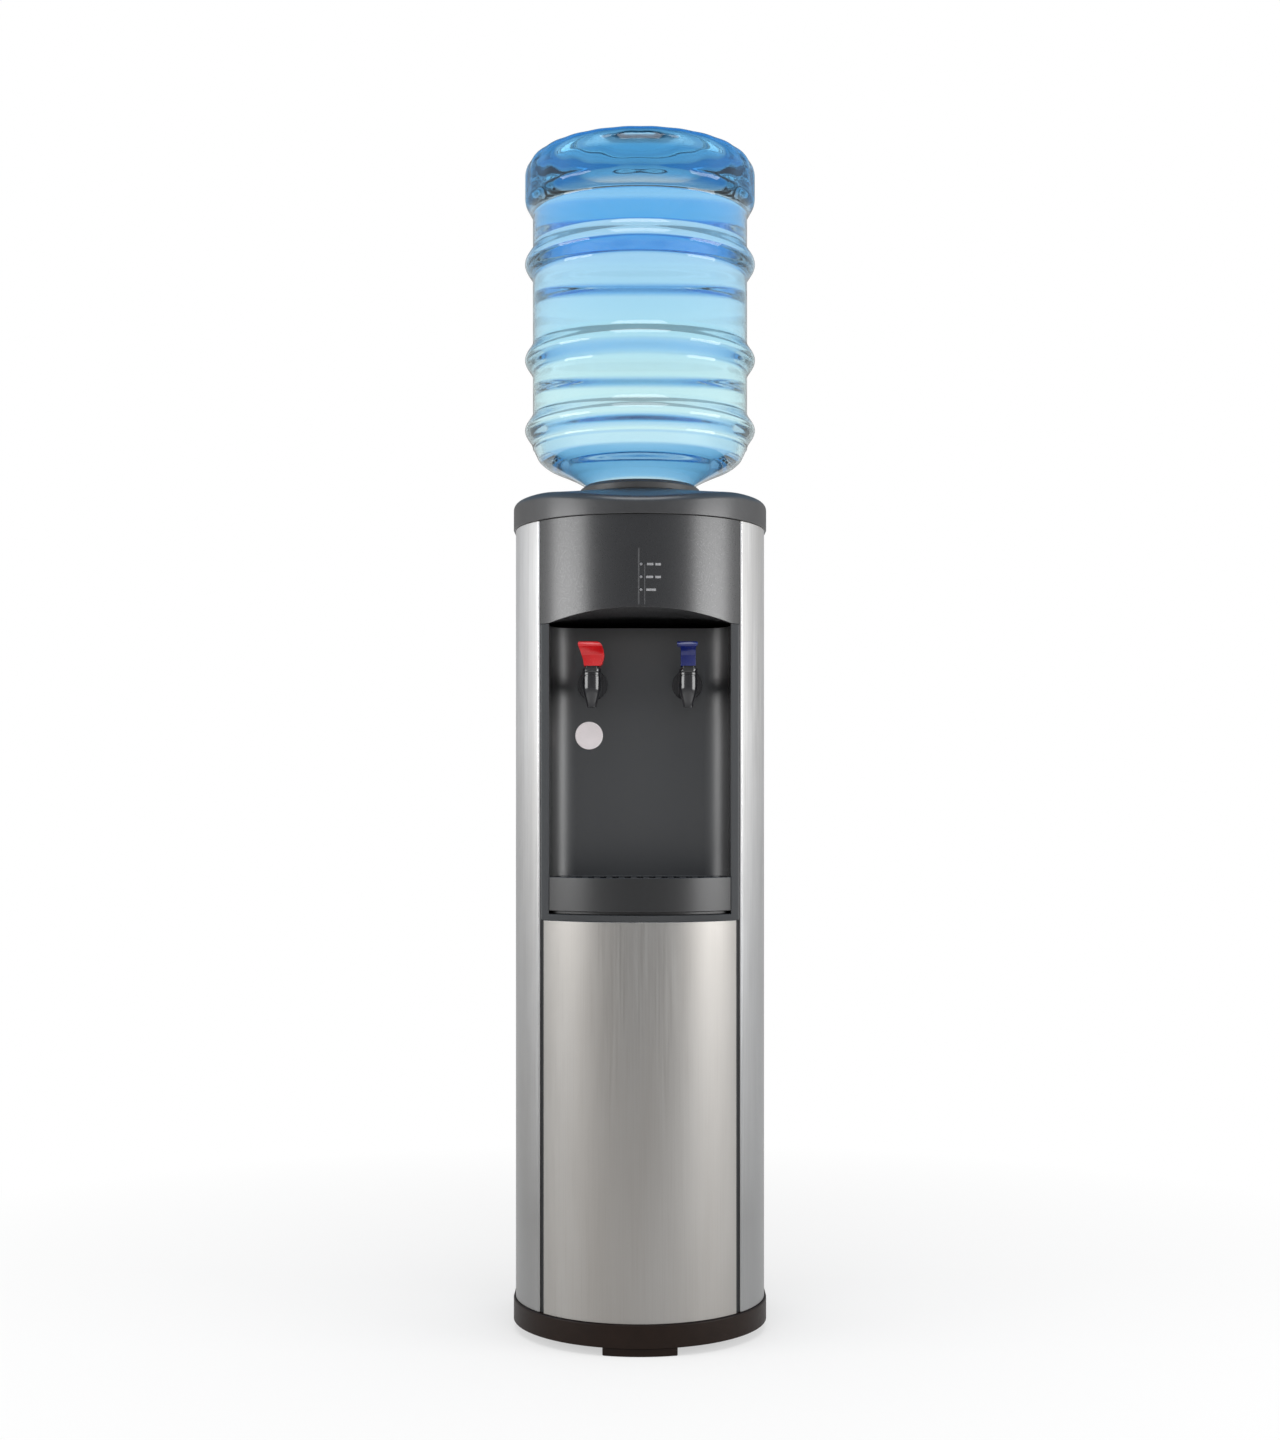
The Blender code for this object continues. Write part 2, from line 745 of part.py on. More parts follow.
def body_plan(inset):
    """The whole plan of the body as a closed outline, smaller by inset all round."""
    half_steps = FRONT_STEPS // 2
    radius = BODY_RADIUS - inset
    front = arc((0, 0), radius, -math.pi / 2, 0, half_steps + SIDE_STEPS)
    right = [*front[1:], *right_side(inset, 0)[SIDE_STEPS + 1 :]]
    return [front[0], *right, *mirrored(right)]


def seam_angle(half_width):
    """The angle on the body's round front at which a piece of this half width ends."""
    return -math.pi / 2 + math.asin(half_width / BODY_RADIUS)


def sheet(name, line, low, high, look, thickness=SHEET):
    """Sheet metal standing on an open line in plan, which runs anticlockwise and so faces out."""

    def build(work):
        lower = [work.verts.new((x, y, low)) for x, y in line]
        upper = [work.verts.new((x, y, high)) for x, y in line]
        for i in range(len(line) - 1):
            work.faces.new((lower[i], lower[i + 1], upper[i + 1], upper[i]))

    return solidify(placed(name, mesh_of(name, build), look), thickness)


def loft(name, sections, look):
    """A closed solid through sections that have as many points each, with both ends filled."""

    def build(work):
        rings = [[work.verts.new(point) for point in section] for section in sections]
        for here, there in zip(rings, rings[1:]):
            for i in range(len(here)):
                j = (i + 1) % len(here)
                work.faces.new((here[i], here[j], there[j], there[i]))
        work.faces.new(rings[0])
        work.faces.new(rings[-1])
        bmesh.ops.recalc_face_normals(work, faces=work.faces)

    return placed(name, mesh_of(name, build), look)


# Casing


def base_plinth():
    """A shell open underneath, with a flat top and a rounded rim."""
    rings = [(MOULDED_WALL, PLINTH_TOP - MOULDED_WALL), (MOULDED_WALL, FOOT_HEIGHT), (0, FOOT_HEIGHT)]
    for step in range(RIM_STEPS + 1):
        turn = step / RIM_STEPS * math.pi / 2
        rings.append((FOOT_EDGE * (1 - math.cos(turn)), PLINTH_TOP - FOOT_EDGE * (1 - math.sin(turn))))
    sections = [[(x, y, z) for x, y in body_plan(inset - RIM_PROUD)] for inset, z in rings]
    loft("base_plinth", sections, base_plastic())


def feet():
    """The tongue under the front and two round feet at the back, each with posts up to the deck."""
    post_top = PLINTH_TOP - MOULDED_WALL - CLEARANCE
    front_radius = BODY_RADIUS + RIM_PROUD - FOOT_TONGUE_SET_IN
    half_angle = math.asin(FOOT_TONGUE_WIDTH / 2 / front_radius)
    tongue_back = FOOT_TONGUE_DEPTH - front_radius
    front = arc((0, 0), front_radius, -math.pi / 2 - half_angle, -math.pi / 2 + half_angle, 6)
    outline = [*front, (FOOT_TONGUE_WIDTH / 2, tongue_back), (-FOOT_TONGUE_WIDTH / 2, tongue_back)]
    tongue = prism("foot_front", outline, 0, FOOT_HEIGHT - CLEARANCE, base_plastic())
    post_y = tongue_back - FOOT_TONGUE_DEPTH / 2
    for side in (-1, 1):
        x = side * FRONT_POST_SPREAD
        join(tongue, rod("front post", (x, post_y, FOOT_HEIGHT / 2), (x, post_y, post_top), FOOT_POST_RADIUS))
    profile = [
        (0, post_top),
        (FOOT_POST_RADIUS, post_top),
        (FOOT_POST_RADIUS, FOOT_HEIGHT),
        (FOOT_RADIUS, FOOT_HEIGHT),
        (FOOT_RADIUS, FOOT_EDGE),
        (FOOT_RADIUS - FOOT_EDGE, 0),
        (0, 0),
    ]
    for name, side in (("foot_rear_left", -1), ("foot_rear_right", 1)):
        turned(name, profile, (side * REAR_FOOT_SIDE, REAR_FOOT_BACK, 0), base_plastic(), 20)


def side_panels():
    """Steel wraps from the front seam round to the back, with a fold inwards along the seam."""
    start = seam_angle(FRONT_HALF_WIDTH + SEAM_GAP)
    inner = BODY_RADIUS - FLANGE_DEPTH
    line = [
        (inner * math.cos(start), inner * math.sin(start)),
        *right_side(0, start),
        (REAR_PANEL_HALF + CLEARANCE, BODY_REAR),
    ]
    sheet("side_panel_right", line, CASE_BOTTOM, FASCIA_TOP, side_steel())
    sheet("side_panel_left", mirrored(line), CASE_BOTTOM, FASCIA_TOP, side_steel())


def front_line(inset):
    """The front's plan between the seams, anticlockwise."""
    edge = seam_angle(FRONT_HALF_WIDTH)
    return arc((0, 0), BODY_RADIUS - inset, -math.pi - edge, edge, FRONT_STEPS)


def lower_front_panel():
    line = [front_line(FLANGE_DEPTH)[0], *front_line(0), front_line(FLANGE_DEPTH)[-1]]
    sheet("lower_front_panel", line, CASE_BOTTOM, LOWER_PANEL_TOP, brushed_steel())


def jamb_back():
    """How far forward the jambs' rear edge lies, as a value of Y."""
    return JAMB_DEPTH - math.sqrt(BODY_RADIUS**2 - FRONT_HALF_WIDTH**2)


def recess_plan(outwards, front_y, steps):
    """The right half of the alcove's walls in plan, from the front to the middle of the back."""
    bend = (ALCOVE_HALF_WIDTH - ALCOVE_CORNER, -ALCOVE_BACK - ALCOVE_CORNER)
    return [
        (ALCOVE_HALF_WIDTH + outwards, front_y),
        *arc(bend, ALCOVE_CORNER + outwards, 0, math.pi / 2, steps),
    ]


def alcove_liner():
    """Jambs, side walls and back of the alcove with the floor under the tray, in one moulding."""
    right = [front_line(SEAM_EDGE)[-1], *recess_plan(MOULDED_WALL, jamb_back(), 6)]
    outline = [*front_line(0), *right, *mirrored(right)]
    liner = prism("alcove_liner", outline, LINER_BOTTOM, LINER_TOP, dark_plastic())
    air = recess_plan(0, -BODY_RADIUS - CUT_OVERRUN, 6)
    cut(liner, prism("alcove air", [*air, *mirrored(air)], LINER_FLOOR, LINER_TOP + CUT_OVERRUN))
    for side in (-1, 1):
        cut(
            liner,
            rod(
                "shank hole",
                (side * TAP_SIDE, -ALCOVE_BACK - CUT_OVERRUN, TAP_HEIGHT),
                (side * TAP_SIDE, MOULDED_WALL - ALCOVE_BACK + CUT_OVERRUN, TAP_HEIGHT),
                SHANK_RADIUS + CLEARANCE,
            ),
        )


def ceiling_back(x):
    """Where the ceiling ends at the back, above the liner's outer face."""
    straight = ALCOVE_HALF_WIDTH - ALCOVE_CORNER
    outer = ALCOVE_CORNER + MOULDED_WALL
    along = abs(x) - straight
    if along <= 0:
        return MOULDED_WALL - ALCOVE_BACK
    if along >= outer:
        return jamb_back()
    return -ALCOVE_BACK - ALCOVE_CORNER + math.sqrt(outer**2 - along**2)


def control_fascia():
    """The upper front with an arched lower edge, and the ceiling that slopes back from it."""
    sections = []
    for step, (x, front) in enumerate(front_line(0)):
        low = FASCIA_BOTTOM + ARCH_RISE * max(0, 1 - (x / ALCOVE_HALF_WIDTH) ** 2)
        depth = -math.sqrt((BODY_RADIUS - MOULDED_WALL) ** 2 - x**2)
        inner = (x, depth)
        back = (x, max(ceiling_back(x), depth + MOULDED_WALL))
        if step in (0, FRONT_STEPS):
            inner = front_line(MOULDED_WALL)[step]
            back = front_line(SEAM_EDGE)[step]
        sections.append(
            [
                (x, front, FASCIA_TOP),
                (x, front, low),
                (*back, FASCIA_BOTTOM),
                (*back, FASCIA_BOTTOM + MOULDED_WALL),
                (*inner, low + MOULDED_WALL),
                (*inner, FASCIA_TOP),
            ]
        )
    fascia = loft("control_fascia", sections, dark_plastic())
    for z in lens_heights():
        cut(
            fascia,
            rod(
                "lens hole",
                (LENS_SIDE, -BODY_RADIUS - CUT_OVERRUN, z),
                (LENS_SIDE, MOULDED_WALL - BODY_RADIUS + CUT_OVERRUN, z),
                LENS_RADIUS + CLEARANCE,
                sides=12,
            ),
        )


def lens_heights():
    return [TOP_LENS - step * LENS_SPACING for step in range(3)]


def indicators():
    """Three light pipes pushed in from behind, and the small board with their lamps."""
    flange_front = LENS_PROUD + MOULDED_WALL + CLEARANCE + CLEARANCE
    profile = [
        (0, 0),
        (LENS_RADIUS, 0),
        (LENS_RADIUS, -flange_front),
        (LENS_FLANGE_RADIUS, -flange_front),
        (LENS_FLANGE_RADIUS, -flange_front - LENS_FLANGE),
        (LENS_RADIUS, -flange_front - LENS_FLANGE),
        (LENS_RADIUS, -LENS_LENGTH),
        (0, -LENS_LENGTH),
    ]
    names = ("indicator_heating", "indicator_cooling", "indicator_power")
    for name, z in zip(names, lens_heights()):
        turned(name, profile, (LENS_SIDE, -BODY_RADIUS - LENS_PROUD, z), white_plastic(), 12, axis="-Y")
    front = -BODY_RADIUS - LENS_PROUD + LENS_LENGTH + CLEARANCE
    block(
        "indicator_board",
        (LENS_SIDE - BOARD_HALF_WIDTH, front, lens_heights()[-1] - BOARD_MARGIN),
        (LENS_SIDE + BOARD_HALF_WIDTH, front + BOARD_THICKNESS, TOP_LENS + BOARD_MARGIN),
        circuit_green(),
    )


def cap_dip(x, y):
    """How far the cap's rim lies below its sides at this place in plan: it dips across the front."""
    away = abs(math.atan2(x, -y)) / CAP_DIP_ANGLE
    return CAP_DIP * math.cos(min(away, 1) * math.pi / 2) ** 2


def cap_plan(inset):
    """The body's plan with its long straight sides divided, so that the cap's rings stay round inside it."""
    points = []
    plan = body_plan(inset)
    longest = [math.dist(a, b) for a, b in zip(body_plan(0), [*body_plan(0)[1:], body_plan(0)[0]])]
    for i, (here, there) in enumerate(zip(plan, [*plan[1:], plan[0]])):
        pieces = math.ceil(longest[i] / CAP_LONGEST_EDGE)
        points += [tuple(a + (b - a) * step / pieces for a, b in zip(here, there)) for step in range(pieces)]
    return points


def top_cap():
    """The moulded cap: a rim with a rounded edge that dips at the front, rising to the collar's land."""
    outline = cap_plan(-RIM_PROUD)
    rings = [[(x, y, CAP_BOTTOM) for x, y in outline]]
    for step in range(CAP_FILLET_STEPS + 1):
        turn = step / CAP_FILLET_STEPS * math.pi / 2
        inset = CAP_FILLET * (1 - math.cos(turn))
        drop = CAP_FILLET * (1 - math.sin(turn))
        plan = cap_plan(inset - RIM_PROUD)
        rings.append([(x, y, CAP_RIM - cap_dip(x, y) - drop) for x, y in plan])
    for radius in (COLLAR_RADIUS + COLLAR_LAND, COLLAR_SPIGOT_RADIUS + CLEARANCE):
        angles = [math.atan2(y, x) for x, y in outline]
        rings.append([(radius * math.cos(a), radius * math.sin(a), CAP_RIM + CAP_CROWN) for a in angles])

    def build(work):
        loops = [[work.verts.new(point) for point in ring] for ring in rings]
        for here, there in zip(loops, loops[1:]):
            for i in range(len(here)):
                j = (i + 1) % len(here)
                work.faces.new((here[i], here[j], there[j], there[i]))

    solidify(placed("top_cap", mesh_of("top_cap", build), grey_plastic()), CAP_WALL)


# Bottle and what holds it


def bottle_collar():
    funnel_lip = COLLAR_BASE - FUNNEL_LIP_DROP
    well_top = COLLAR_BASE - WELL_TOP_DROP
    tail_hole = PROBE_TAIL_RADIUS + CLEARANCE
    profile = [
        (COLLAR_SEAT_RADIUS + COLLAR_SEAT_FLAT, COLLAR_SEAT),
        (COLLAR_RADIUS, COLLAR_RIM),
        (COLLAR_RADIUS, COLLAR_BASE),
        (COLLAR_SPIGOT_RADIUS, COLLAR_BASE),
        (COLLAR_SPIGOT_RADIUS, COLLAR_BASE - COLLAR_SPIGOT_DEPTH),
        (WELL_RADIUS + MOULDED_WALL, well_top),
        (WELL_RADIUS + MOULDED_WALL, WELL_BOTTOM),
        (tail_hole, WELL_BOTTOM),
        (tail_hole, WELL_FLOOR),
        (WELL_RADIUS, WELL_FLOOR),
        (WELL_RADIUS, well_top),
        (COLLAR_SPIGOT_RADIUS - MOULDED_WALL, funnel_lip),
        (COLLAR_SPIGOT_RADIUS - COLLAR_SEAT_FLAT, COLLAR_BASE),
        (COLLAR_SEAT_RADIUS, COLLAR_SEAT),
    ]
    turned("bottle_collar", profile, (0, 0, 0), grey_plastic(), 32, closed=True)


def feed_probe():
    """The hollow spike that opens the bottle, its flange on the well's floor and its tail in the tank."""
    seat = WELL_FLOOR + CLEARANCE
    tip = NECK_END + PROBE_REACH
    profile = [
        (PROBE_BORE, tip),
        (PROBE_RADIUS - PROBE_TAIL_RADIUS + PROBE_BORE, tip),
        (PROBE_RADIUS, tip - PROBE_TIP),
        (PROBE_RADIUS, seat + PROBE_FLANGE_HEIGHT),
        (PROBE_FLANGE, seat + PROBE_FLANGE_HEIGHT),
        (PROBE_FLANGE, seat),
        (PROBE_TAIL_RADIUS, seat),
        (PROBE_TAIL_RADIUS, WELL_BOTTOM - PROBE_TAIL),
        (PROBE_BORE, WELL_BOTTOM - PROBE_TAIL),
    ]
    probe = turned("feed_probe", profile, (0, 0, 0), white_plastic(), 16, closed=True)
    port = NECK_END + PROBE_REACH / 2
    reach = PROBE_RADIUS + CUT_OVERRUN
    cut(probe, rod("probe port", (-reach, 0, port), (reach, 0, port), PROBE_PORT, sides=10))


def bottle_profile():
    """The bottle's outer side from the middle of its base, now on top, down to the end of its neck."""
    rim = BOTTLE_RADIUS + RIB_PROUD
    corner = BOTTLE_TOP_CORNER
    flat = rim - corner - BOTTLE_TOP_LAND
    profile = [
        (0, BOTTLE_TOP - BOTTLE_TOP_DISH),
        (flat - BOTTLE_DISH_SLOPE, BOTTLE_TOP - BOTTLE_TOP_DISH),
        (flat, BOTTLE_TOP),
        *[(r, z) for r, z in arc((rim - corner, BOTTLE_TOP - corner), corner, math.pi / 2, 0, 4)],
        (rim, TOP_BAND - TOP_BAND_HALF_FLAT + RIB_HALF_HEIGHT / 2),
    ]
    band_foot = TOP_BAND - TOP_BAND_HALF_FLAT - RIB_HALF_HEIGHT / 2
    profile.append((BOTTLE_RADIUS + RIB_PROUD / 2, (profile[-1][1] + band_foot) / 2))
    profile.append((BOTTLE_RADIUS, band_foot))
    for rib in (THIRD_RIB, SECOND_RIB, FIRST_RIB):
        for step in range(RIB_STEPS + 1):
            share = 1 - 2 * step / RIB_STEPS
            bulge = RIB_PROUD * math.cos(share * math.pi / 2) ** 2
            profile.append((BOTTLE_RADIUS + bulge, rib + share * RIB_HALF_HEIGHT))
    for out, rise in SHOULDER_SHARES:
        radius = NECK_RADIUS + out * (BOTTLE_RADIUS - NECK_RADIUS)
        height = SHOULDER_BASE + rise * SHOULDER_HEIGHT
        if height < profile[-1][1]:
            profile.append((radius, height))
    profile.append((NECK_RADIUS, NECK_END))
    return profile


def bottle():
    shell = turned("bottle", bottle_profile(), (0, 0, 0), bottle_plastic(), BOTTLE_STEPS)
    solidify(shell, BOTTLE_WALL)


def bottle_cap():
    inner = NECK_RADIUS + CLEARANCE
    outer = inner + NECK_CAP_WALL
    hole = PROBE_RADIUS + PROBE_SLIP
    floor = NECK_CAP_BOTTOM + NECK_CAP_WALL
    skirt_top = NECK_CAP_BOTTOM + NECK_CAP_SKIRT
    tube_top = NECK_CAP_BOTTOM + NECK_CAP_TUBE
    profile = [
        (outer, skirt_top),
        (outer, NECK_CAP_BOTTOM),
        (hole, NECK_CAP_BOTTOM),
        (hole, tube_top),
        (hole + NECK_CAP_WALL, tube_top),
        (hole + NECK_CAP_WALL, floor),
        (inner, floor),
        (inner, skirt_top),
    ]
    turned("bottle_cap", profile, (0, 0, 0), white_plastic(), 24, closed=True)


# Drip tray


def tray_plan(inset, front_inset, rounder=0):
    """The tray's plan inside the alcove: a front flush with the body's round, and rounded rear corners."""
    half = ALCOVE_HALF_WIDTH - CLEARANCE - inset
    radius = BODY_RADIUS - front_inset
    edge = -math.pi / 2 + math.asin(half / radius)
    corner = ALCOVE_CORNER - CLEARANCE - inset + rounder
    bend = (half - corner, -ALCOVE_BACK - ALCOVE_CORNER - rounder)
    right = arc(bend, corner, 0, math.pi / 2, 6)
    return [*arc((0, 0), radius, -math.pi - edge, edge, FRONT_STEPS - 2), *right, *mirrored(right)]


def drip_tray():
    tray = prism("drip_tray", tray_plan(0, 0), TRAY_FACE_BOTTOM, TRAY_TOP, dark_plastic())
    floor = TRAY_BOTTOM + TRAY_WALL
    foot = tray_plan(TRAY_WALL, TRAY_UNDERCUT)
    join(tray, prism("tray foot", foot, TRAY_BOTTOM, TRAY_FACE_BOTTOM + TRAY_WALL))
    ledge = TRAY_TOP - GRILLE_SET_DOWN - GRILLE_THICKNESS - CLEARANCE
    basin = tray_plan(TRAY_WALL + TRAY_LEDGE, TRAY_UNDERCUT + TRAY_WALL)
    cut(tray, prism("tray basin", basin, floor, TRAY_TOP + CUT_OVERRUN))
    rebate = tray_plan(TRAY_WALL, TRAY_WALL)
    cut(tray, prism("tray rebate", rebate, ledge, TRAY_TOP + CUT_OVERRUN))


def drip_grille():
    """A plate with slots from front to back, laid in the tray's rebate."""
    inset = TRAY_WALL + CLEARANCE
    top = TRAY_TOP - GRILLE_SET_DOWN
    plan = tray_plan(inset, inset, GRILLE_CORNER_EXTRA)
    grille = prism("drip_grille", plan, top - GRILLE_THICKNESS, top, black_plastic())
    for step in range(-SLOTS_EACH_SIDE, SLOTS_EACH_SIDE + 1):
        x = step * SLOT_PITCH
        reach = abs(x) + SLOT_WIDTH / 2
        front = -math.sqrt((BODY_RADIUS - GRILLE_BORDER) ** 2 - reach**2)
        back = ceiling_back(reach + GRILLE_BORDER - MOULDED_WALL) - GRILLE_BORDER
        cut(
            grille,
            block(
                "grille slot",
                (x - SLOT_WIDTH / 2, front, top - GRILLE_THICKNESS - CUT_OVERRUN),
                (x + SLOT_WIDTH / 2, back, top + CUT_OVERRUN),
            ),
        )


# Taps


def origin_at(obj, point):
    """Moves the object's origin to a point of the world, with its shape left where it is."""
    obj.data.transform(Matrix.Translation(-Vector(point)))
    obj.location = point


def helix(centre, radius, low, high, turns, steps):
    """Points of a coil round an upright axis, from its lower end up."""
    points = []
    for step in range(turns * steps + 1):
        angle = 2 * math.pi * step / steps
        rise = low + (high - low) * step / (turns * steps)
        points.append((centre[0] + radius * math.cos(angle), centre[1] + radius * math.sin(angle), rise))
    return points


def tap_body(name, x):
    """The upright body with its valve bore, the shank through the wall and the flange in front of it."""
    profile = [
        (TAP_BODY_RADIUS, TAP_BODY_TOP),
        (TAP_BODY_RADIUS, -TAP_TAPER_TOP),
        (NOZZLE_RADIUS, -TAP_TAPER_FOOT),
        (NOZZLE_RADIUS, -NOZZLE_END),
        (NOZZLE_BORE, -NOZZLE_END),
        (NOZZLE_BORE, -VALVE_SEAT_DROP),
        (VALVE_BORE, -VALVE_SEAT_DROP),
        (VALVE_BORE, TAP_BODY_TOP),
    ]
    body = turned(f"{name}_tap_body", profile, (x, -TAP_AXIS, TAP_HEIGHT), black_plastic(), 20, closed=True)
    wall_front = -ALCOVE_BACK - CLEARANCE
    shank_start = (VALVE_BORE + TAP_BODY_RADIUS) / 2 - TAP_AXIS
    join(
        body,
        rod("shank", (x, shank_start, TAP_HEIGHT), (x, shank_end(), TAP_HEIGHT), SHANK_RADIUS),
        rod(
            "wall flange",
            (x, wall_front - TAP_FLANGE, TAP_HEIGHT),
            (x, wall_front, TAP_HEIGHT),
            TAP_FLANGE_RADIUS,
            sides=24,
        ),
    )
    end = (x, shank_end() + CUT_OVERRUN, TAP_HEIGHT)
    cut(body, rod("shank bore", (x, -TAP_AXIS, TAP_HEIGHT), end, SHANK_BORE, sides=12))


def shank_end():
    return MOULDED_WALL - ALCOVE_BACK + SHANK_BEHIND_WALL


def pivot_point(x):
    return (x, -TAP_AXIS - TOWER_SET_FORWARD, TAP_HEIGHT + PIVOT_HEIGHT)


def tap_bonnet(name, x):
    """The screwed top of the body, with the tower that the lever turns on."""
    seat = TAP_BODY_TOP + CLEARANCE
    plug = VALVE_BORE - CLEARANCE
    hole = STEM_RADIUS + CLEARANCE
    profile = [
        (TAP_BODY_RADIUS, BONNET_TOP),
        (TAP_BODY_RADIUS, seat),
        (plug, seat),
        (plug, seat - BONNET_PLUG),
        (hole, seat - BONNET_PLUG),
        (hole, BONNET_TOP),
    ]
    place = (x, -TAP_AXIS, TAP_HEIGHT)
    bonnet = turned(f"{name}_tap_bonnet", profile, place, black_plastic(), 20, closed=True)
    _, pivot_y, pivot_z = pivot_point(x)
    tower = block(
        "lever tower",
        (x - TOWER_HALF_WIDTH, pivot_y - TOWER_DEPTH / 2, TAP_HEIGHT + BONNET_TOP - BONNET_FLANGE / 2),
        (x + TOWER_HALF_WIDTH, pivot_y + TOWER_DEPTH / 2, pivot_z + TOWER_OVER_PIVOT),
    )
    join(bonnet, tower)
    reach = TOWER_HALF_WIDTH + CUT_OVERRUN
    hole_ends = [(x + side * reach, pivot_y, pivot_z) for side in (-1, 1)]
    cut(bonnet, rod("pin hole", *hole_ends, PIN_RADIUS + CLEARANCE, sides=12))


def tap_lever(name, x, front_shares, look):
    """The lever: its outline from the front and its outline from the side, and the slot for the tower."""
    bottom = TAP_HEIGHT + BONNET_TOP + LEVER_OVER_BONNET
    front = [(x + a * LEVER_WIDTH, bottom + b * LEVER_HEIGHT) for a, b in front_shares]
    side = [(a * LEVER_REACH - TAP_AXIS, bottom + b * LEVER_HEIGHT) for a, b in LEVER_SIDE_SHARES]
    depth = LEVER_REACH + CUT_OVERRUN
    lever = prism(f"{name}_tap_lever", front, -TAP_AXIS - depth, -TAP_AXIS + depth, look, plane="XZ")
    keep_common(lever, prism("lever side", side, x - LEVER_WIDTH, x + LEVER_WIDTH, plane="YZ"))
    pivot = pivot_point(x)
    inner = TOWER_HALF_WIDTH + CLEARANCE
    cut(
        lever,
        block(
            "lever slot",
            (x - inner, pivot[1] - LEVER_SLOT_FRONT, bottom - CUT_OVERRUN),
            (x + inner, -TAP_AXIS + depth, bottom + LEVER_ROOF),
        ),
        rod(
            "lever pin hole",
            (x - LEVER_WIDTH, pivot[1], pivot[2]),
            (x + LEVER_WIDTH, pivot[1], pivot[2]),
            PIN_RADIUS + CLEARANCE,
            sides=12,
        ),
    )
    fork_top = TAP_HEIGHT + BONNET_TOP + STEM_HEAD_RISE - LIFT_GAP
    for across in (-1, 1):
        ends = sorted((across * (STEM_RADIUS + 2 * CLEARANCE), across * (inner + LIFT_BAR / 2)))
        low = (x + ends[0], -TAP_AXIS - LIFT_BAR / 2, fork_top - LIFT_BAR)
        high = (x + ends[1], -TAP_AXIS + LIFT_BAR / 2, fork_top)
        join(lever, block("lift bar", low, high))
    origin_at(lever, pivot)
    return lever


def tap_pin(name, x):
    _, y, z = pivot_point(x)
    ends = [(x + side * PIN_HALF_LENGTH, y, z) for side in (-1, 1)]
    rod(f"{name}_tap_pin", *ends, PIN_RADIUS, stainless(), sides=12)


def tap_stem(name, x):
    """The stem with the cup that closes the valve and the head that the lever lifts."""
    head = BONNET_TOP + STEM_HEAD_RISE
    cup = CLEARANCE - VALVE_SEAT_DROP
    profile = [
        (0, head + STEM_HEAD),
        (STEM_HEAD_RADIUS, head + STEM_HEAD),
        (STEM_HEAD_RADIUS, head),
        (STEM_RADIUS, head),
        (STEM_RADIUS, cup + VALVE_CUP_HEIGHT),
        (VALVE_CUP_RADIUS, cup + VALVE_CUP_HEIGHT),
        (VALVE_CUP_RADIUS, cup),
        (0, cup),
    ]
    turned(f"{name}_tap_stem", profile, (x, -TAP_AXIS, TAP_HEIGHT), white_plastic(), 14)


def tap_spring(name, x):
    """The coil between the stem's cup and the bonnet, which closes the valve again."""
    low = CLEARANCE - VALVE_SEAT_DROP + VALVE_CUP_HEIGHT + CLEARANCE + SPRING_WIRE
    high = TAP_BODY_TOP - BONNET_PLUG - SPRING_WIRE
    points = helix(
        (x, -TAP_AXIS), SPRING_RADIUS, TAP_HEIGHT + low, TAP_HEIGHT + high, SPRING_TURNS, 9
    )
    tube(f"{name}_tap_spring", points, SPRING_WIRE, stainless(), sides_level=0)


def tap_nut(name, x):
    """The nut that holds the tap's shank from behind the wall."""
    front = MOULDED_WALL - ALCOVE_BACK + CLEARANCE
    back = front + NUT_THICKNESS
    ends = [(x, y, TAP_HEIGHT) for y in (front, back)]
    nut = rod(f"{name}_tap_nut", *ends, NUT_RADIUS, white_plastic(), sides=6)
    bore_ends = [(x, y, TAP_HEIGHT) for y in (front - CUT_OVERRUN, back + CUT_OVERRUN)]
    cut(nut, rod("nut bore", *bore_ends, SHANK_RADIUS + CLEARANCE))


def hot_tap_catch(lever, x):
    """The child lock on the hot lever: a tab in a pocket on its top, slid forwards to free it."""
    bottom = TAP_HEIGHT + BONNET_TOP + LEVER_OVER_BONNET
    floor = bottom + CATCH_FLOOR
    back = -TAP_AXIS - CATCH_BEHIND_FRONT
    half = CATCH_WIDTH / 2
    front = back - CATCH_LENGTH - CATCH_TRAVEL - 2 * CLEARANCE
    pocket = block(
        "catch pocket",
        (x - half - CLEARANCE, front, floor),
        (x + half + CLEARANCE, back, bottom + LEVER_HEIGHT + CUT_OVERRUN),
    )
    cut(lever, pocket)
    catch = block(
        "hot_tap_catch",
        (x - half, back - CLEARANCE - CATCH_LENGTH, floor + CLEARANCE),
        (x + half, back - CLEARANCE, floor + CLEARANCE + CATCH_HEIGHT),
        red_plastic(),
    )
    bevel(catch, LEVER_EDGE)


def taps():
    for name, side, shares, look in (
        ("hot", -1, HOT_FRONT_SHARES, red_plastic()),
        ("cold", 1, COLD_FRONT_SHARES, blue_plastic()),
    ):
        x = side * TAP_SIDE
        tap_body(name, x)
        tap_bonnet(name, x)
        lever = tap_lever(name, x, shares, look)
        tap_pin(name, x)
        tap_stem(name, x)
        tap_spring(name, x)
        tap_nut(name, x)
        if name == "hot":
            hot_tap_catch(lever, x)


# Tanks, shelf and hoses


def tank_profile(radius, low, high):
    """The outer side of a drum with chamfered rims."""
    edge = TANK_EDGE
    return [
        (0, high),
        (radius - edge, high),
        (radius, high - edge),
        (radius, low + edge),
        (radius - edge, low),
        (0, low),
    ]


def front_of(radius, x):
    """The front of a drum of this radius on the tanks' axis, at a place across."""
    return TANK_BACK - math.sqrt(radius**2 - x**2)


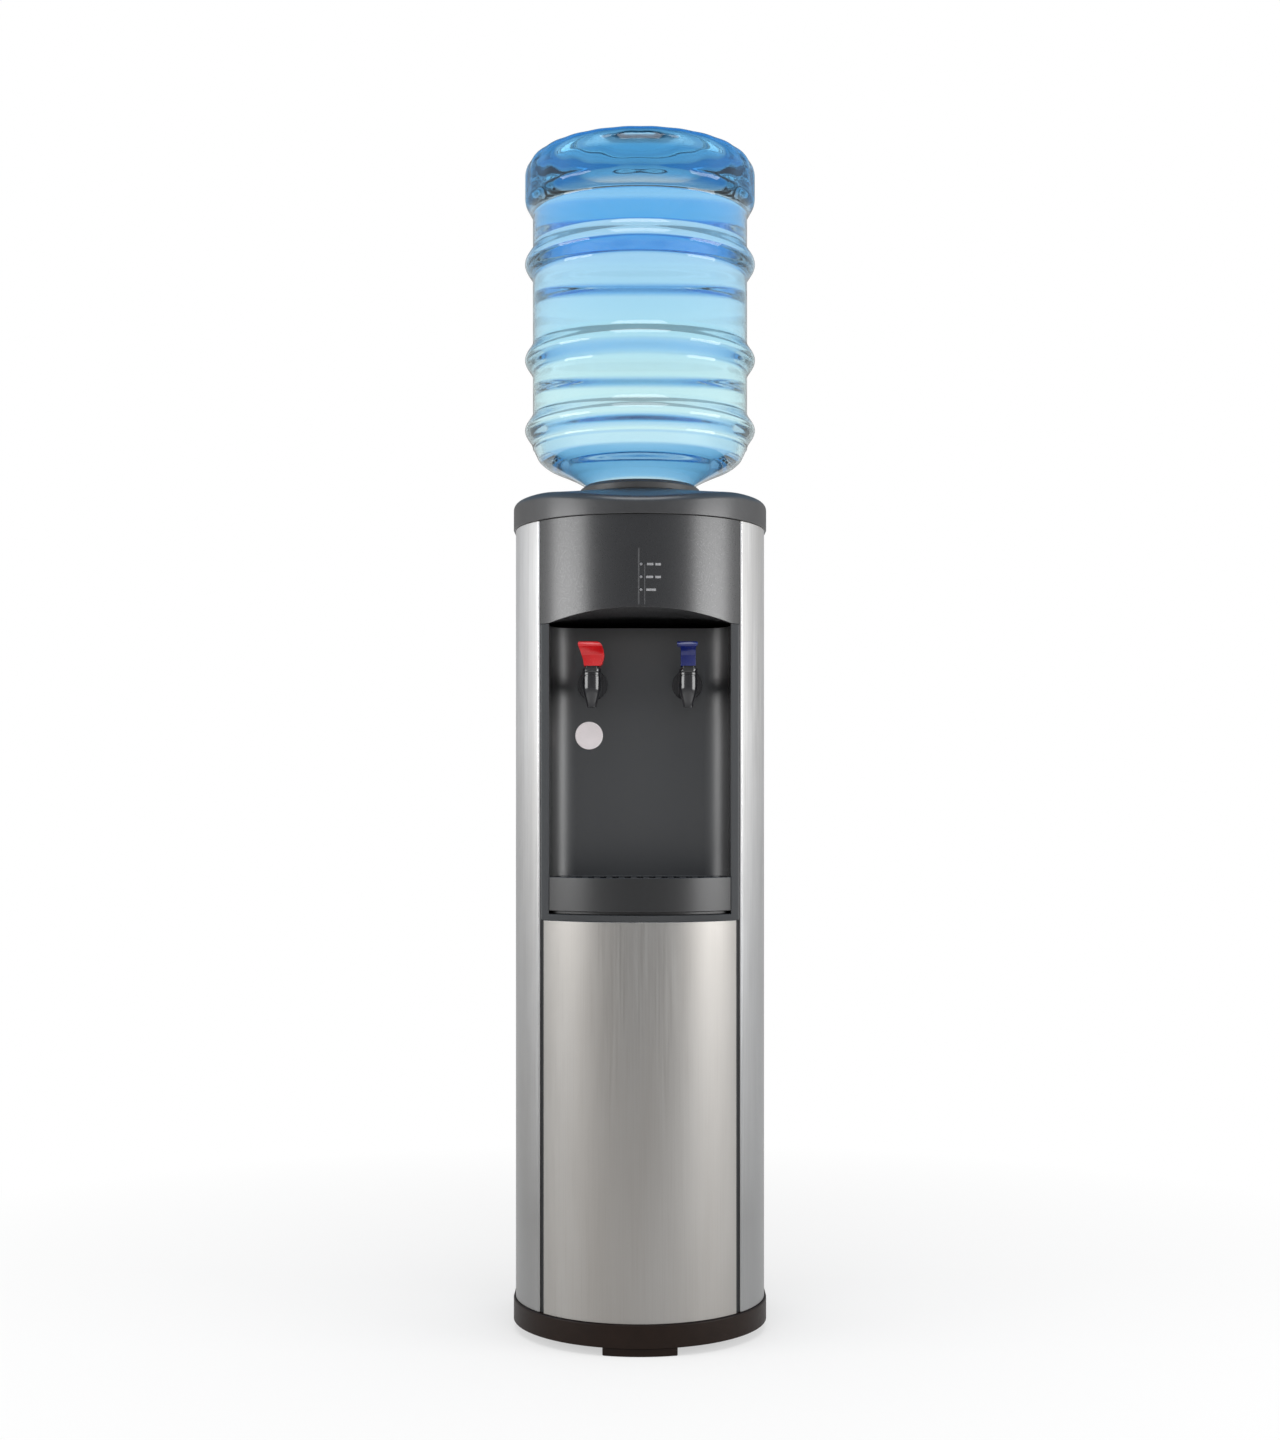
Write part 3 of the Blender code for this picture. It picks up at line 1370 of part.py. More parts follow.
def spigot(tank, x, start, end, z):
    """A hollow stub from inside the tank's wall to the place where a hose begins."""
    join(tank, rod("spigot", (x, start + TANK_WALL / 2, z), (x, end, z), SPIGOT_RADIUS))
    cut(
        tank,
        rod(
            "spigot bore",
            (x, start + TANK_WALL + CUT_OVERRUN, z),
            (x, end - CUT_OVERRUN, z),
            SPIGOT_BORE,
            sides=12,
        ),
    )


def cold_spigot_end():
    return front_of(FOAM_RADIUS, COLD_SPIGOT_SIDE) - COLD_SPIGOT_PAST_FOAM


def cold_tank():
    """The steel tank under the well, with the stub to the cold tap and the neck down to the hot tank."""
    place = (0, TANK_BACK, 0)
    tank = turned(
        "cold_tank",
        tank_profile(COLD_TANK_RADIUS, COLD_TANK_BOTTOM, COLD_TANK_TOP),
        place,
        stainless(),
        24,
    )
    solidify(tank, TANK_WALL)
    z = COLD_TANK_BOTTOM + COLD_SPIGOT_RISE
    spigot(tank, COLD_SPIGOT_SIDE, front_of(COLD_TANK_RADIUS, COLD_SPIGOT_SIDE), cold_spigot_end(), z)
    low = HOT_TANK_TOP + CLEARANCE
    floor = COLD_TANK_BOTTOM + TANK_WALL / 2
    join(tank, rod("neck pipe", (0, TANK_BACK, floor), (0, TANK_BACK, low), NECK_PIPE_RADIUS))
    high = COLD_TANK_BOTTOM + TANK_WALL + CUT_OVERRUN
    cut(
        tank,
        rod("neck bore", (0, TANK_BACK, high), (0, TANK_BACK, low - CUT_OVERRUN), NECK_PIPE_BORE, sides=12),
        rod(
            "probe entry",
            (0, 0, COLD_TANK_TOP - TANK_WALL - CUT_OVERRUN),
            (0, 0, COLD_TANK_TOP + CUT_OVERRUN),
            PROBE_TAIL_RADIUS + CLEARANCE,
        ),
    )


def coil_foot():
    return COLD_TANK_BOTTOM + COIL_RISE


def suction_side():
    """How far to the side the coil's tail runs down, outside the foam."""
    return FOAM_RADIUS + 3 * COIL_WIRE


def evaporator_coil():
    """The cooling coil round the cold tank, and its tail down to the compressor."""
    low = coil_foot()
    coil = helix((0, TANK_BACK), COIL_RADIUS, low, low + COIL_TURNS * COIL_PITCH, COIL_TURNS, COIL_STEPS)
    bend = 2 * COIL_WIRE
    out = suction_side()
    tail = [
        (out - bend, TANK_BACK, low),
        (out, TANK_BACK, low - bend),
        (out, TANK_BACK, HOT_TANK_BOTTOM),
        (STUB_SIDE, TANK_BACK, STUB_TOP + COMPRESSOR_RADIUS),
        (STUB_SIDE, TANK_BACK, STUB_TOP + CLEARANCE),
    ]
    tube("evaporator_coil", [*reversed(coil), *tail], COIL_WIRE, copper(), sides_level=1)


def insulation_shell():
    """The foam cup round the cold tank and its coil."""
    hole = NECK_PIPE_RADIUS + CLEARANCE
    floor = FOAM_BOTTOM + FOAM_FLOOR
    top = COLD_TANK_TOP - FOAM_BELOW_TOP
    profile = [
        (FOAM_RADIUS, top),
        (FOAM_RADIUS, FOAM_BOTTOM),
        (hole, FOAM_BOTTOM),
        (hole, floor),
        (FOAM_INNER, floor),
        (FOAM_INNER, top),
    ]
    shell = turned("insulation_shell", profile, (0, TANK_BACK, 0), foam(), FOAM_STEPS, closed=True)
    z = COLD_TANK_BOTTOM + COLD_SPIGOT_RISE
    x = COLD_SPIGOT_SIDE
    cut(
        shell,
        rod(
            "spigot hole",
            (x, front_of(FOAM_INNER, x) + CUT_OVERRUN, z),
            (x, front_of(FOAM_RADIUS, x) - CUT_OVERRUN, z),
            SPIGOT_RADIUS + CLEARANCE,
        ),
        rod(
            "coil hole",
            (FOAM_INNER - CUT_OVERRUN, TANK_BACK, coil_foot()),
            (FOAM_RADIUS + CUT_OVERRUN, TANK_BACK, coil_foot()),
            COIL_WIRE + 2 * CLEARANCE,
        ),
    )


def tank_shelf():
    """The steel shelf across the body that carries both tanks, between the side panels."""
    inset = SHEET + CLEARANCE
    start = -math.asin(SHELF_FRONT / (BODY_RADIUS - inset))
    right = right_side(inset, start)
    plan = [*right, *mirrored(right)]
    shelf = prism("tank_shelf", plan, SHELF_TOP - SHELF_THICKNESS, SHELF_TOP, galvanised())
    for x, radius in ((0, NECK_PIPE_RADIUS), (suction_side(), COIL_WIRE + CLEARANCE)):
        low = (x, TANK_BACK, SHELF_TOP - SHELF_THICKNESS - CUT_OVERRUN)
        high = (x, TANK_BACK, SHELF_TOP + CUT_OVERRUN)
        cut(shelf, rod("shelf hole", low, high, radius + CLEARANCE))


def hot_spigot_end():
    return front_of(HOT_TANK_RADIUS, HOT_SPIGOT_SIDE) - SPIGOT_LENGTH


def hot_tank():
    profile = tank_profile(HOT_TANK_RADIUS, HOT_TANK_BOTTOM, HOT_TANK_TOP)
    tank = turned("hot_tank", profile, (0, TANK_BACK, 0), stainless(), 24)
    solidify(tank, TANK_WALL)
    x = -HOT_SPIGOT_SIDE
    spigot(tank, x, front_of(HOT_TANK_RADIUS, x), hot_spigot_end(), HOT_TANK_TOP - HOT_SPIGOT_DROP)
    low = (0, TANK_BACK, HOT_TANK_TOP - TANK_WALL - CUT_OVERRUN)
    high = (0, TANK_BACK, HOT_TANK_TOP + CUT_OVERRUN)
    cut(tank, rod("hot tank mouth", low, high, NECK_PIPE_BORE, sides=12))


def hot_tank_fittings():
    """The heater clamped round the hot tank, and the thermostat on its side."""
    inner = HOT_TANK_RADIUS + CLEARANCE
    outer = inner + HEATER_THICKNESS
    low = HOT_TANK_BOTTOM + HEATER_RISE
    profile = [(outer, low + HEATER_HEIGHT), (outer, low), (inner, low), (inner, low + HEATER_HEIGHT)]
    turned("heater_band", profile, (0, TANK_BACK, 0), galvanised(), 24, closed=True)
    z = HOT_TANK_BOTTOM + THERMOSTAT_RISE
    rod(
        "hot_thermostat",
        (inner, TANK_BACK, z),
        (inner + THERMOSTAT_DEPTH, TANK_BACK, z),
        THERMOSTAT_RADIUS,
        black_plastic(),
    )


def hoses():
    """The two hoses from the tanks' stubs to the taps' shanks."""
    tap_end = shank_end() + CLEARANCE
    z = COLD_TANK_BOTTOM + COLD_SPIGOT_RISE
    y = cold_spigot_end() - CLEARANCE
    x = COLD_SPIGOT_SIDE
    stops = [
        (x, y, z),
        (x, y - HOSE_DIP, z),
        ((x + TAP_SIDE) / 2, y - HOSE_DIP, (z + TAP_HEIGHT) / 2 - HOSE_BACK),
        (TAP_SIDE, tap_end + HOSE_LEAD, TAP_HEIGHT - HOSE_BACK),
        (TAP_SIDE, tap_end + HOSE_LEAD, TAP_HEIGHT),
        (TAP_SIDE, tap_end, TAP_HEIGHT),
    ]
    tube("cold_hose", smooth_route(stops, HOSE_STEPS), HOSE_RADIUS, silicone())
    z = HOT_TANK_TOP - HOT_SPIGOT_DROP
    y = hot_spigot_end() - CLEARANCE
    out = y - HOSE_BACK
    stops = [
        (-HOT_SPIGOT_SIDE, y, z),
        (-HOT_SPIGOT_SIDE, y - HOSE_DIP, z),
        (-(HOT_SPIGOT_SIDE + TAP_SIDE) / 2, out, z + HOSE_BACK),
        (-TAP_SIDE, out, SHELF_TOP + HOSE_BACK),
        (-TAP_SIDE, tap_end + HOSE_LEAD, TAP_HEIGHT - HOSE_BACK),
        (-TAP_SIDE, tap_end + HOSE_LEAD, TAP_HEIGHT),
        (-TAP_SIDE, tap_end, TAP_HEIGHT),
    ]
    tube("hot_hose", smooth_route(stops, HOSE_STEPS), HOSE_RADIUS, silicone())


# Compressor and condenser


def compressor():
    """The welded steel pot on its foot plate, hollow through the hole beneath, with two pipe stubs."""
    radius = COMPRESSOR_RADIUS
    dome = COMPRESSOR_DOME
    low = COMPRESSOR_BOTTOM
    high = low + COMPRESSOR_HEIGHT
    profile = [
        (0, high),
        *arc((radius - dome, high - dome), dome, math.pi / 2, 0, 4),
        *arc((radius - dome, low + dome), dome, 0, -math.pi / 2, 4),
        (0, low),
    ]
    pot = turned("compressor", profile, (0, TANK_BACK, 0), black_enamel(), 24)
    solidify(pot, COMPRESSOR_WALL)
    plate = block(
        "foot plate",
        (-PLATE_HALF_WIDTH, TANK_BACK - PLATE_HALF_DEPTH, PLATE_BOTTOM),
        (PLATE_HALF_WIDTH, TANK_BACK + PLATE_HALF_DEPTH, PLATE_BOTTOM + COMPRESSOR_PLATE),
    )
    join(pot, plate)
    for side in (-1, 1):
        x = side * STUB_SIDE
        foot = STUB_TOP - STUB_HEIGHT - STUB_SUNK
        join(pot, rod("pipe stub", (x, TANK_BACK, foot), (x, TANK_BACK, STUB_TOP), STUB_RADIUS, sides=10))
    cut(
        pot,
        rod(
            "oil hole",
            (0, TANK_BACK, PLATE_BOTTOM - CUT_OVERRUN),
            (0, TANK_BACK, low + COMPRESSOR_WALL + CUT_OVERRUN),
            OIL_HOLE,
        ),
    )


def grommets():
    profile = [
        (GROMMET_RADIUS, GROMMET_HEIGHT),
        (GROMMET_RADIUS, 0),
        (GROMMET_BORE, 0),
        (GROMMET_BORE, GROMMET_HEIGHT),
    ]
    places = [(across, along) for across in (-1, 1) for along in (-1, 1)]
    for number, (across, along) in enumerate(places, 1):
        place = (across * GROMMET_SIDE, TANK_BACK + along * GROMMET_FORE, GROMMET_BOTTOM)
        turned(f"grommet_{number}", profile, place, rubber(), 12, closed=True)


def condenser_top():
    return CONDENSER_FOOT + (CONDENSER_ROWS - 1) * CONDENSER_PITCH


def pipe_heights():
    """Where the condenser's two ends pass through the rear panel."""
    return (CONDENSER_FOOT - PIPE_HOLE_DROP, condenser_top() + PIPE_HOLE_DROP)


def condenser_coil():
    """The tube that runs to and fro up the back, and its lead from the compressor through the panel."""
    y = CONDENSER_BACK
    x = -PIPE_SIDE
    bend = CONDENSER_PITCH / 2
    foot, head = pipe_heights()
    lead = smooth_route(
        [
            (-STUB_SIDE, TANK_BACK, STUB_TOP + CLEARANCE),
            (-STUB_SIDE, TANK_BACK, STUB_TOP + bend),
            (x, (TANK_BACK + BODY_REAR) / 2, STUB_TOP),
            (x, BODY_REAR - bend, foot + bend),
            (x, BODY_REAR, foot),
            (x, y, foot + PIPE_HOLE_DROP / 3),
            (-CONDENSER_HALF_RUN, y, CONDENSER_FOOT),
        ],
        HOSE_STEPS,
    )
    route = lead[:-1]
    for row in range(CONDENSER_ROWS):
        side = 1 if row % 2 == 0 else -1
        z = CONDENSER_FOOT + row * CONDENSER_PITCH
        route.append((-side * CONDENSER_HALF_RUN, y, z))
        if row < CONDENSER_ROWS - 1:
            half_turn = arc((0, 0), bend, -math.pi / 2, math.pi / 2, BEND_STEPS)
            route += [(side * (CONDENSER_HALF_RUN + a), y, z + bend + b) for a, b in half_turn]
    tail = [
        (-CONDENSER_HALF_RUN, y, condenser_top()),
        (x, y, head - PIPE_HOLE_DROP / 3),
        (x, BODY_REAR, head),
        (x, BODY_REAR - PIPE_HOLE_DROP / 2, head),
    ]
    route += smooth_route(tail, HOSE_STEPS)
    tube("condenser_coil", drop_repeats(route), CONDENSER_TUBE, black_enamel(), sides_level=1)


def drop_repeats(points):
    """The points without those that lie on the one before."""
    kept = [points[0]]
    for point in points[1:]:
        if (Vector(point) - Vector(kept[-1])).length > CLEARANCE:
            kept.append(point)
    return kept


def condenser_brackets():
    """Angle strips on the rear panel, with their webs beside the bends of the tube."""
    web = CONDENSER_HALF_RUN + CONDENSER_PITCH / 2 + CONDENSER_TUBE + CLEARANCE
    foot = BODY_REAR + CLEARANCE
    line = [(web, BRACKET_REAR), (web, foot), (web + BRACKET_FOOT, foot)]
    low = CONDENSER_FOOT - BRACKET_PAST_COIL
    high = condenser_top() + BRACKET_PAST_COIL
    sheet("condenser_bracket_right", line, low, high, black_enamel())
    sheet("condenser_bracket_left", mirrored(line), low, high, black_enamel())


# Rear panel and what is on it


def housing_height():
    return FASCIA_TOP - HOUSING_DROP


def through_panel(name, x, z, radius):
    """A cutter for a round hole in the rear panel."""
    ends = [(x, BODY_REAR + side * CUT_OVERRUN, z) for side in (-1, 1)]
    return rod(name, *ends, radius + CLEARANCE)


def rear_panel():
    """The flat back between the side panels, with its holes and the vents low down."""
    line = [(REAR_PANEL_HALF, BODY_REAR), (-REAR_PANEL_HALF, BODY_REAR)]
    panel = sheet("rear_panel", line, CASE_BOTTOM, FASCIA_TOP, galvanised())
    half_width = HOUSING_HALF_WIDTH + CLEARANCE
    half_height = HOUSING_HALF_HEIGHT + CLEARANCE
    z = housing_height()
    cut(
        panel,
        block(
            "switch opening",
            (-half_width, BODY_REAR - CUT_OVERRUN, z - half_height),
            (half_width, BODY_REAR + CUT_OVERRUN, z + half_height),
        ),
        through_panel("gland hole", GLAND_SIDE, OUTLET_HEIGHT, GLAND_RADIUS),
        through_panel("drain hole", 0, OUTLET_HEIGHT, DRAIN_RADIUS),
    )
    for height in pipe_heights():
        cut(panel, through_panel("pipe hole", -PIPE_SIDE, height, CONDENSER_TUBE + 2 * CLEARANCE))
    for step in range(VENT_SLOTS):
        middle = OUTLET_HEIGHT + (step - (VENT_SLOTS - 1) / 2) * VENT_PITCH
        cut(
            panel,
            block(
                "vent",
                (-VENT_SIDE - VENT_HALF_LENGTH, BODY_REAR - CUT_OVERRUN, middle - VENT_HEIGHT / 2),
                (VENT_HALF_LENGTH - VENT_SIDE, BODY_REAR + CUT_OVERRUN, middle + VENT_HEIGHT / 2),
            ),
        )


def switch_housing():
    """The box that holds the two rockers, with its bezel outside the rear panel."""
    z = housing_height()
    seat = BODY_REAR + CLEARANCE
    wide = HOUSING_HALF_WIDTH + HOUSING_BEZEL
    tall = HOUSING_HALF_HEIGHT + HOUSING_BEZEL
    housing = block(
        "switch_housing",
        (-HOUSING_HALF_WIDTH, seat - HOUSING_DEPTH, z - HOUSING_HALF_HEIGHT),
        (HOUSING_HALF_WIDTH, seat + HOUSING_BEZEL_DEPTH / 2, z + HOUSING_HALF_HEIGHT),
        black_plastic(),
    )
    join(housing, block("bezel", (-wide, seat, z - tall), (wide, seat + HOUSING_BEZEL_DEPTH, z + tall)))
    half = ROCKER_HALF_WIDTH + CLEARANCE
    for side in (-1, 1):
        x = side * ROCKER_SIDE
        cut(
            housing,
            block(
                "rocker pocket",
                (x - half, seat - HOUSING_DEPTH + HOUSING_FLOOR, z - POCKET_HALF_HEIGHT),
                (x + half, seat + CUT_OVERRUN, z + POCKET_HALF_HEIGHT),
            ),
        )


def rockers():
    """The hot and cold rockers, each at rest with its lower end out."""
    outline = [
        (-ROCKER_BACK_DEPTH, -ROCKER_BACK_HALF),
        (ROCKER_DEPTH, -ROCKER_HALF_HEIGHT),
        (ROCKER_WAIST, 0),
        (ROCKER_DEPTH, ROCKER_HALF_HEIGHT),
        (-ROCKER_BACK_DEPTH, ROCKER_BACK_HALF),
    ]
    for name, side, look in (("hot", -1, red_plastic()), ("cold", 1, blue_plastic())):
        rocker = prism(f"{name}_rocker", outline, -ROCKER_HALF_WIDTH, ROCKER_HALF_WIDTH, look, plane="YZ")
        rocker.location = (side * ROCKER_SIDE, BODY_REAR - ROCKER_SET_IN, housing_height())
        rocker.rotation_euler = (-ROCKER_TILT, 0, 0)


def cord_gland():
    """The bush in the rear panel that a mains cord enters by."""
    out = CLEARANCE + GLAND_FLANGE
    profile = [
        (GLAND_BORE + SHEET, out + GLAND_NOSE),
        (GLAND_RADIUS, out),
        (GLAND_FLANGE_RADIUS, out),
        (GLAND_FLANGE_RADIUS, CLEARANCE),
        (GLAND_RADIUS, CLEARANCE),
        (GLAND_RADIUS, -GLAND_INSIDE),
        (GLAND_BORE, -GLAND_INSIDE),
        (GLAND_BORE, out + GLAND_NOSE),
    ]
    place = (GLAND_SIDE, BODY_REAR, OUTLET_HEIGHT)
    turned("cord_gland", profile, place, rubber(), 16, closed=True, axis="Y")


def drain():
    """The drain fitting through the rear panel, its plug, and the pipe from the hot tank."""
    flange = CLEARANCE + DRAIN_FLANGE
    inside = -SHEET - DRAIN_INSIDE
    profile = [
        (DRAIN_RADIUS, flange + DRAIN_NOSE),
        (DRAIN_RADIUS, flange),
        (DRAIN_FLANGE_RADIUS, flange),
        (DRAIN_FLANGE_RADIUS, CLEARANCE),
        (DRAIN_RADIUS, CLEARANCE),
        (DRAIN_RADIUS, inside),
        (DRAIN_BORE, inside),
        (DRAIN_BORE, flange + DRAIN_NOSE),
    ]
    place = (0, BODY_REAR, OUTLET_HEIGHT)
    turned("drain_outlet", profile, place, black_plastic(), 16, closed=True, axis="Y")
    slip = DRAIN_RADIUS + CLEARANCE
    inner = flange + DRAIN_NOSE + CLEARANCE
    plug = [
        (0, inner + PLUG_END),
        (PLUG_RADIUS, inner + PLUG_END),
        (PLUG_RADIUS, flange + CLEARANCE),
        (slip, flange + CLEARANCE),
        (slip, inner),
        (0, inner),
    ]
    turned("drain_plug", plug, place, rubber(), 16, axis="Y")
    start = TANK_BACK + HOT_TANK_RADIUS - 2 * TANK_EDGE
    low = HOT_TANK_BOTTOM - CLEARANCE
    stops = [
        (0, start, low),
        (0, start, low - HOSE_BACK),
        (0, DRAIN_PIPE_BACK, low - 4 * HOSE_BACK),
        (0, DRAIN_PIPE_BACK, OUTLET_HEIGHT + 2 * HOSE_BACK),
        (0, DRAIN_PIPE_BACK, OUTLET_HEIGHT),
        (0, BODY_REAR + inside - CLEARANCE, OUTLET_HEIGHT),
    ]
    tube("drain_pipe", smooth_route(stops, HOSE_STEPS), DRAIN_PIPE_RADIUS, silicone())


def build_cooler():
    start_scene()
    base_plinth()
    feet()
    side_panels()
    lower_front_panel()
    alcove_liner()
    control_fascia()
    indicators()
    top_cap()
    bottle_collar()
    feed_probe()
    bottle()
    bottle_cap()
    drip_tray()
    drip_grille()
    taps()
    cold_tank()
    evaporator_coil()
    insulation_shell()
    tank_shelf()
    hot_tank()
    hot_tank_fittings()
    hoses()
    compressor()
    grommets()
    condenser_coil()
    condenser_brackets()
    rear_panel()
    switch_housing()
    rockers()
    cord_gland()
    drain()


build_cooler()
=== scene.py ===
import json
import math

import bmesh
import bpy
from mathutils import Matrix, Vector


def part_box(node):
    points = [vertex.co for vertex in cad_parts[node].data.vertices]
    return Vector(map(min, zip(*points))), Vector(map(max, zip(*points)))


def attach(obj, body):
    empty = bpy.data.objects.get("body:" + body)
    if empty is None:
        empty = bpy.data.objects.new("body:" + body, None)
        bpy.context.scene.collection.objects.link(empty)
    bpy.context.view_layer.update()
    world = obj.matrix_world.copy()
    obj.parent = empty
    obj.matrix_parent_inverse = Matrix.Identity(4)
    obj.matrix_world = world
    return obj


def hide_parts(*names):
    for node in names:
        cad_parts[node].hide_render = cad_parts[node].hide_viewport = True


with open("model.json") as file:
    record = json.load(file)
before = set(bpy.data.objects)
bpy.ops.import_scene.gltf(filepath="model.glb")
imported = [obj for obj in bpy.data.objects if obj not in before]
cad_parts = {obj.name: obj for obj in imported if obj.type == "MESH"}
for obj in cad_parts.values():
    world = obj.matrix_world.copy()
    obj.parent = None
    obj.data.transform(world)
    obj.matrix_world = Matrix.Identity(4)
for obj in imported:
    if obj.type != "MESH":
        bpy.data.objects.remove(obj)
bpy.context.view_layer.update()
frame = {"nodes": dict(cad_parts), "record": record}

# Sizes, in metres, that the fine pieces share with the solids they stand for

BODY_RADIUS = 0.1465  # of the round front
BODY_REAR = 0.130
REAR_CORNER = 0.028
RIM_PROUD = 0.0025  # how far the cap and the plinth stand out past the body
FRONT_HALF = 0.1132  # half the width of the front between its seams
DOOR_HALF = 0.1104
SEAM_GAP = 0.0018
SEAM_FOLD = 0.0016  # how far the steel at a seam drops before it turns in
SEAM_DEPTH = 0.006  # how far in from the front it ends
SEAM_TURN = 0.011  # the bearing, in radians, that the fold takes up
REAR_PANEL_HALF = 0.1025
ALCOVE_HALF = 0.103
ALCOVE_BACK = 0.050
ALCOVE_CORNER = 0.030
JAMB = 0.004  # the wall at the liner's front edges
JAMB_DEPTH = 0.006
WALL = 0.003
SHEET = 0.0012
SLACK = 0.0003
TAP_SIDE = 0.0547
TAP_AXIS = 0.098
TAP_HEIGHT = 0.7520

# For the making of shapes

MIDDLE = (0, 0)
TOUCHING = 1e-6  # points nearer than this are one
OVERRUN = 0.006  # how far a cutter passes the piece that it cuts
ROUND_STEPS, SIDE_STEPS, CORNER_STEPS = 96, 40, 12

scene = bpy.context.scene
scene.view_settings.view_transform = "Standard"


# Making and finishing pieces


def link(name, data):
    """An object that shows the data, in the scene."""
    obj = bpy.data.objects.new(name, data)
    scene.collection.objects.link(obj)
    return obj


def shape(name, work, sharp=35):
    """An object from a bmesh, smooth except at edges sharper than so many degrees, or all over for None."""
    bmesh.ops.remove_doubles(work, verts=work.verts, dist=TOUCHING)
    bmesh.ops.recalc_face_normals(work, faces=work.faces)
    mesh = bpy.data.meshes.new(name)
    work.to_mesh(mesh)
    work.free()
    mesh.shade_smooth()
    if sharp is not None:
        mesh.set_sharp_from_angle(angle=math.radians(sharp))
    return link(name, mesh)


def baked(obj):
    """The object with its modifiers applied."""
    seen = obj.evaluated_get(bpy.context.evaluated_depsgraph_get())
    mesh = bpy.data.meshes.new_from_object(seen)
    obj.modifiers.clear()
    obj.data = mesh
    return obj


def combined(obj, operation, others):
    """The object joined with, cut by or kept within the others, which go."""
    for other in others:
        step = obj.modifiers.new(operation, "BOOLEAN")
        step.operation = operation
        step.solver = "EXACT"
        step.object = other
    baked(obj)
    for other in others:
        bpy.data.objects.remove(other)
    return obj


def carved(obj, *cutters):
    """The object with the cutters taken out of it."""
    return combined(obj, "DIFFERENCE", cutters)


def rounded(obj, width, segments=3, angle=35):
    """Rounds the object's edges sharper than so many degrees."""
    edge = obj.modifiers.new("round", "BEVEL")
    edge.width = width
    edge.segments = segments
    edge.limit_method = "ANGLE"
    edge.angle_limit = math.radians(angle)
    edge.harden_normals = True
    for e in obj.data.edges:
        e.use_edge_sharp = False
    obj.data.shade_smooth()
    return obj


def fitted(obj, look, body="cabinet", stands_for=()):
    """Gives the piece its material, the body that it rides on and the nodes that it replaces."""
    obj.data.materials.clear()
    obj.data.materials.append(look)
    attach(obj, body)
    if stands_for:
        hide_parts(*stands_for)
    return obj


# Plans and solids


def arc(centre, radius, start, end, steps):
    """Points round a centre, from one bearing in radians to another."""
    turn = (end - start) / steps
    return [
        (centre[0] + radius * math.cos(start + i * turn), centre[1] + radius * math.sin(start + i * turn))
        for i in range(steps + 1)
    ]


def mirrored(points):
    """The points on the other side, in reverse, so that a line goes on."""
    return [(-x, y) for x, y in reversed(points)]


def on_circle(radius, angle):
    """The point at a bearing in radians round the middle."""
    return (radius * math.cos(angle), radius * math.sin(angle))


def front_bearing(half_width):
    """The bearing, from +X, of the point on the right of the round front this far from the middle."""
    return -math.pi / 2 + math.asin(half_width / BODY_RADIUS)


def right_side(inset, start):
    """The plan from a bearing on the round front back to the rear corner, on the right."""
    centre = (BODY_RADIUS - REAR_CORNER, BODY_REAR - REAR_CORNER)
    return [
        *arc(MIDDLE, BODY_RADIUS - inset, start, 0, SIDE_STEPS),
        *arc(centre, REAR_CORNER - inset, 0, math.pi / 2, CORNER_STEPS),
    ]


def body_plan(inset):
    """The cabinet's plan, moved inwards."""
    right = right_side(inset, -math.pi / 2)
    return [*right, *mirrored(right)[:-1]]


def front_line(inset, steps=ROUND_STEPS):
    """The front's plan between the seams."""
    edge = front_bearing(FRONT_HALF)
    return arc(MIDDLE, BODY_RADIUS - inset, -math.pi - edge, edge, steps)


def lofted(name, rings, sharp=35, ends=True):
    """A surface through closed rings of as many points each, with a face over each end."""
    work = bmesh.new()
    made = [[work.verts.new(point) for point in ring] for ring in rings]
    for here, there in zip(made, made[1:]):
        for i in range(len(here)):
            j = (i + 1) % len(here)
            work.faces.new((here[i], here[j], there[j], there[i]))
    if ends:
        work.faces.new(made[0])
        work.faces.new(made[-1])
    return shape(name, work, sharp)


def prism(name, outline, low, high, plane="XY"):
    """The outline, in a plane of two axes, from one place to another along the third."""
    place = {
        "XY": lambda a, b, c: (a, b, c),
        "XZ": lambda a, b, c: (a, c, b),
        "YZ": lambda a, b, c: (c, a, b),
    }[plane]
    return lofted(name, [[place(a, b, c) for a, b in outline] for c in (low, high)])


def block(name, low, high):
    """A box between two corners."""
    (x0, y0, z0), (x1, y1, z1) = low, high
    return prism(name, [(x0, y0), (x1, y0), (x1, y1), (x0, y1)], z0, z1)


def turned(name, profile, place=(0, 0, 0), steps=ROUND_STEPS, axis="Z", closed=False, sharp=35):
    """The profile of radius and height swept round an axis through a place."""
    work = bmesh.new()
    rings = []
    for radius, height in profile:
        plan = [MIDDLE] if radius < TOUCHING else arc(MIDDLE, radius, 0, math.tau, steps)[:-1]
        rings.append([work.verts.new((x, y, height)) for x, y in plan])
    pairs = list(zip(rings, rings[1:])) + ([(rings[-1], rings[0])] if closed else [])
    for here, there in pairs:
        for i in range(steps):
            j = (i + 1) % steps
            corners = [here[i % len(here)], here[j % len(here)], there[j % len(there)], there[i % len(there)]]
            face = list(dict.fromkeys(corners))
            if len(face) > 2:
                work.faces.new(face)
    tilt = {"Z": 0, "Y": -math.pi / 2, "-Y": math.pi / 2}[axis]
    work.transform(Matrix.Translation(place) @ Matrix.Rotation(tilt, 4, "X"))
    return shape(name, work, sharp)


def strip(name, line, thickness, low, high):
    """A bent sheet: its outer line in plan, its thickness inwards, and its lower and upper edge."""
    inner = []
    for i, (x, y) in enumerate(line):
        before = Vector(line[max(i - 1, 0)])
        after = Vector(line[min(i + 1, len(line) - 1)])
        along = (after - before).normalized()
        inner.append((x - along.y * thickness, y + along.x * thickness))
    return prism(name, [*line, *reversed(inner)], low, high)


# Materials


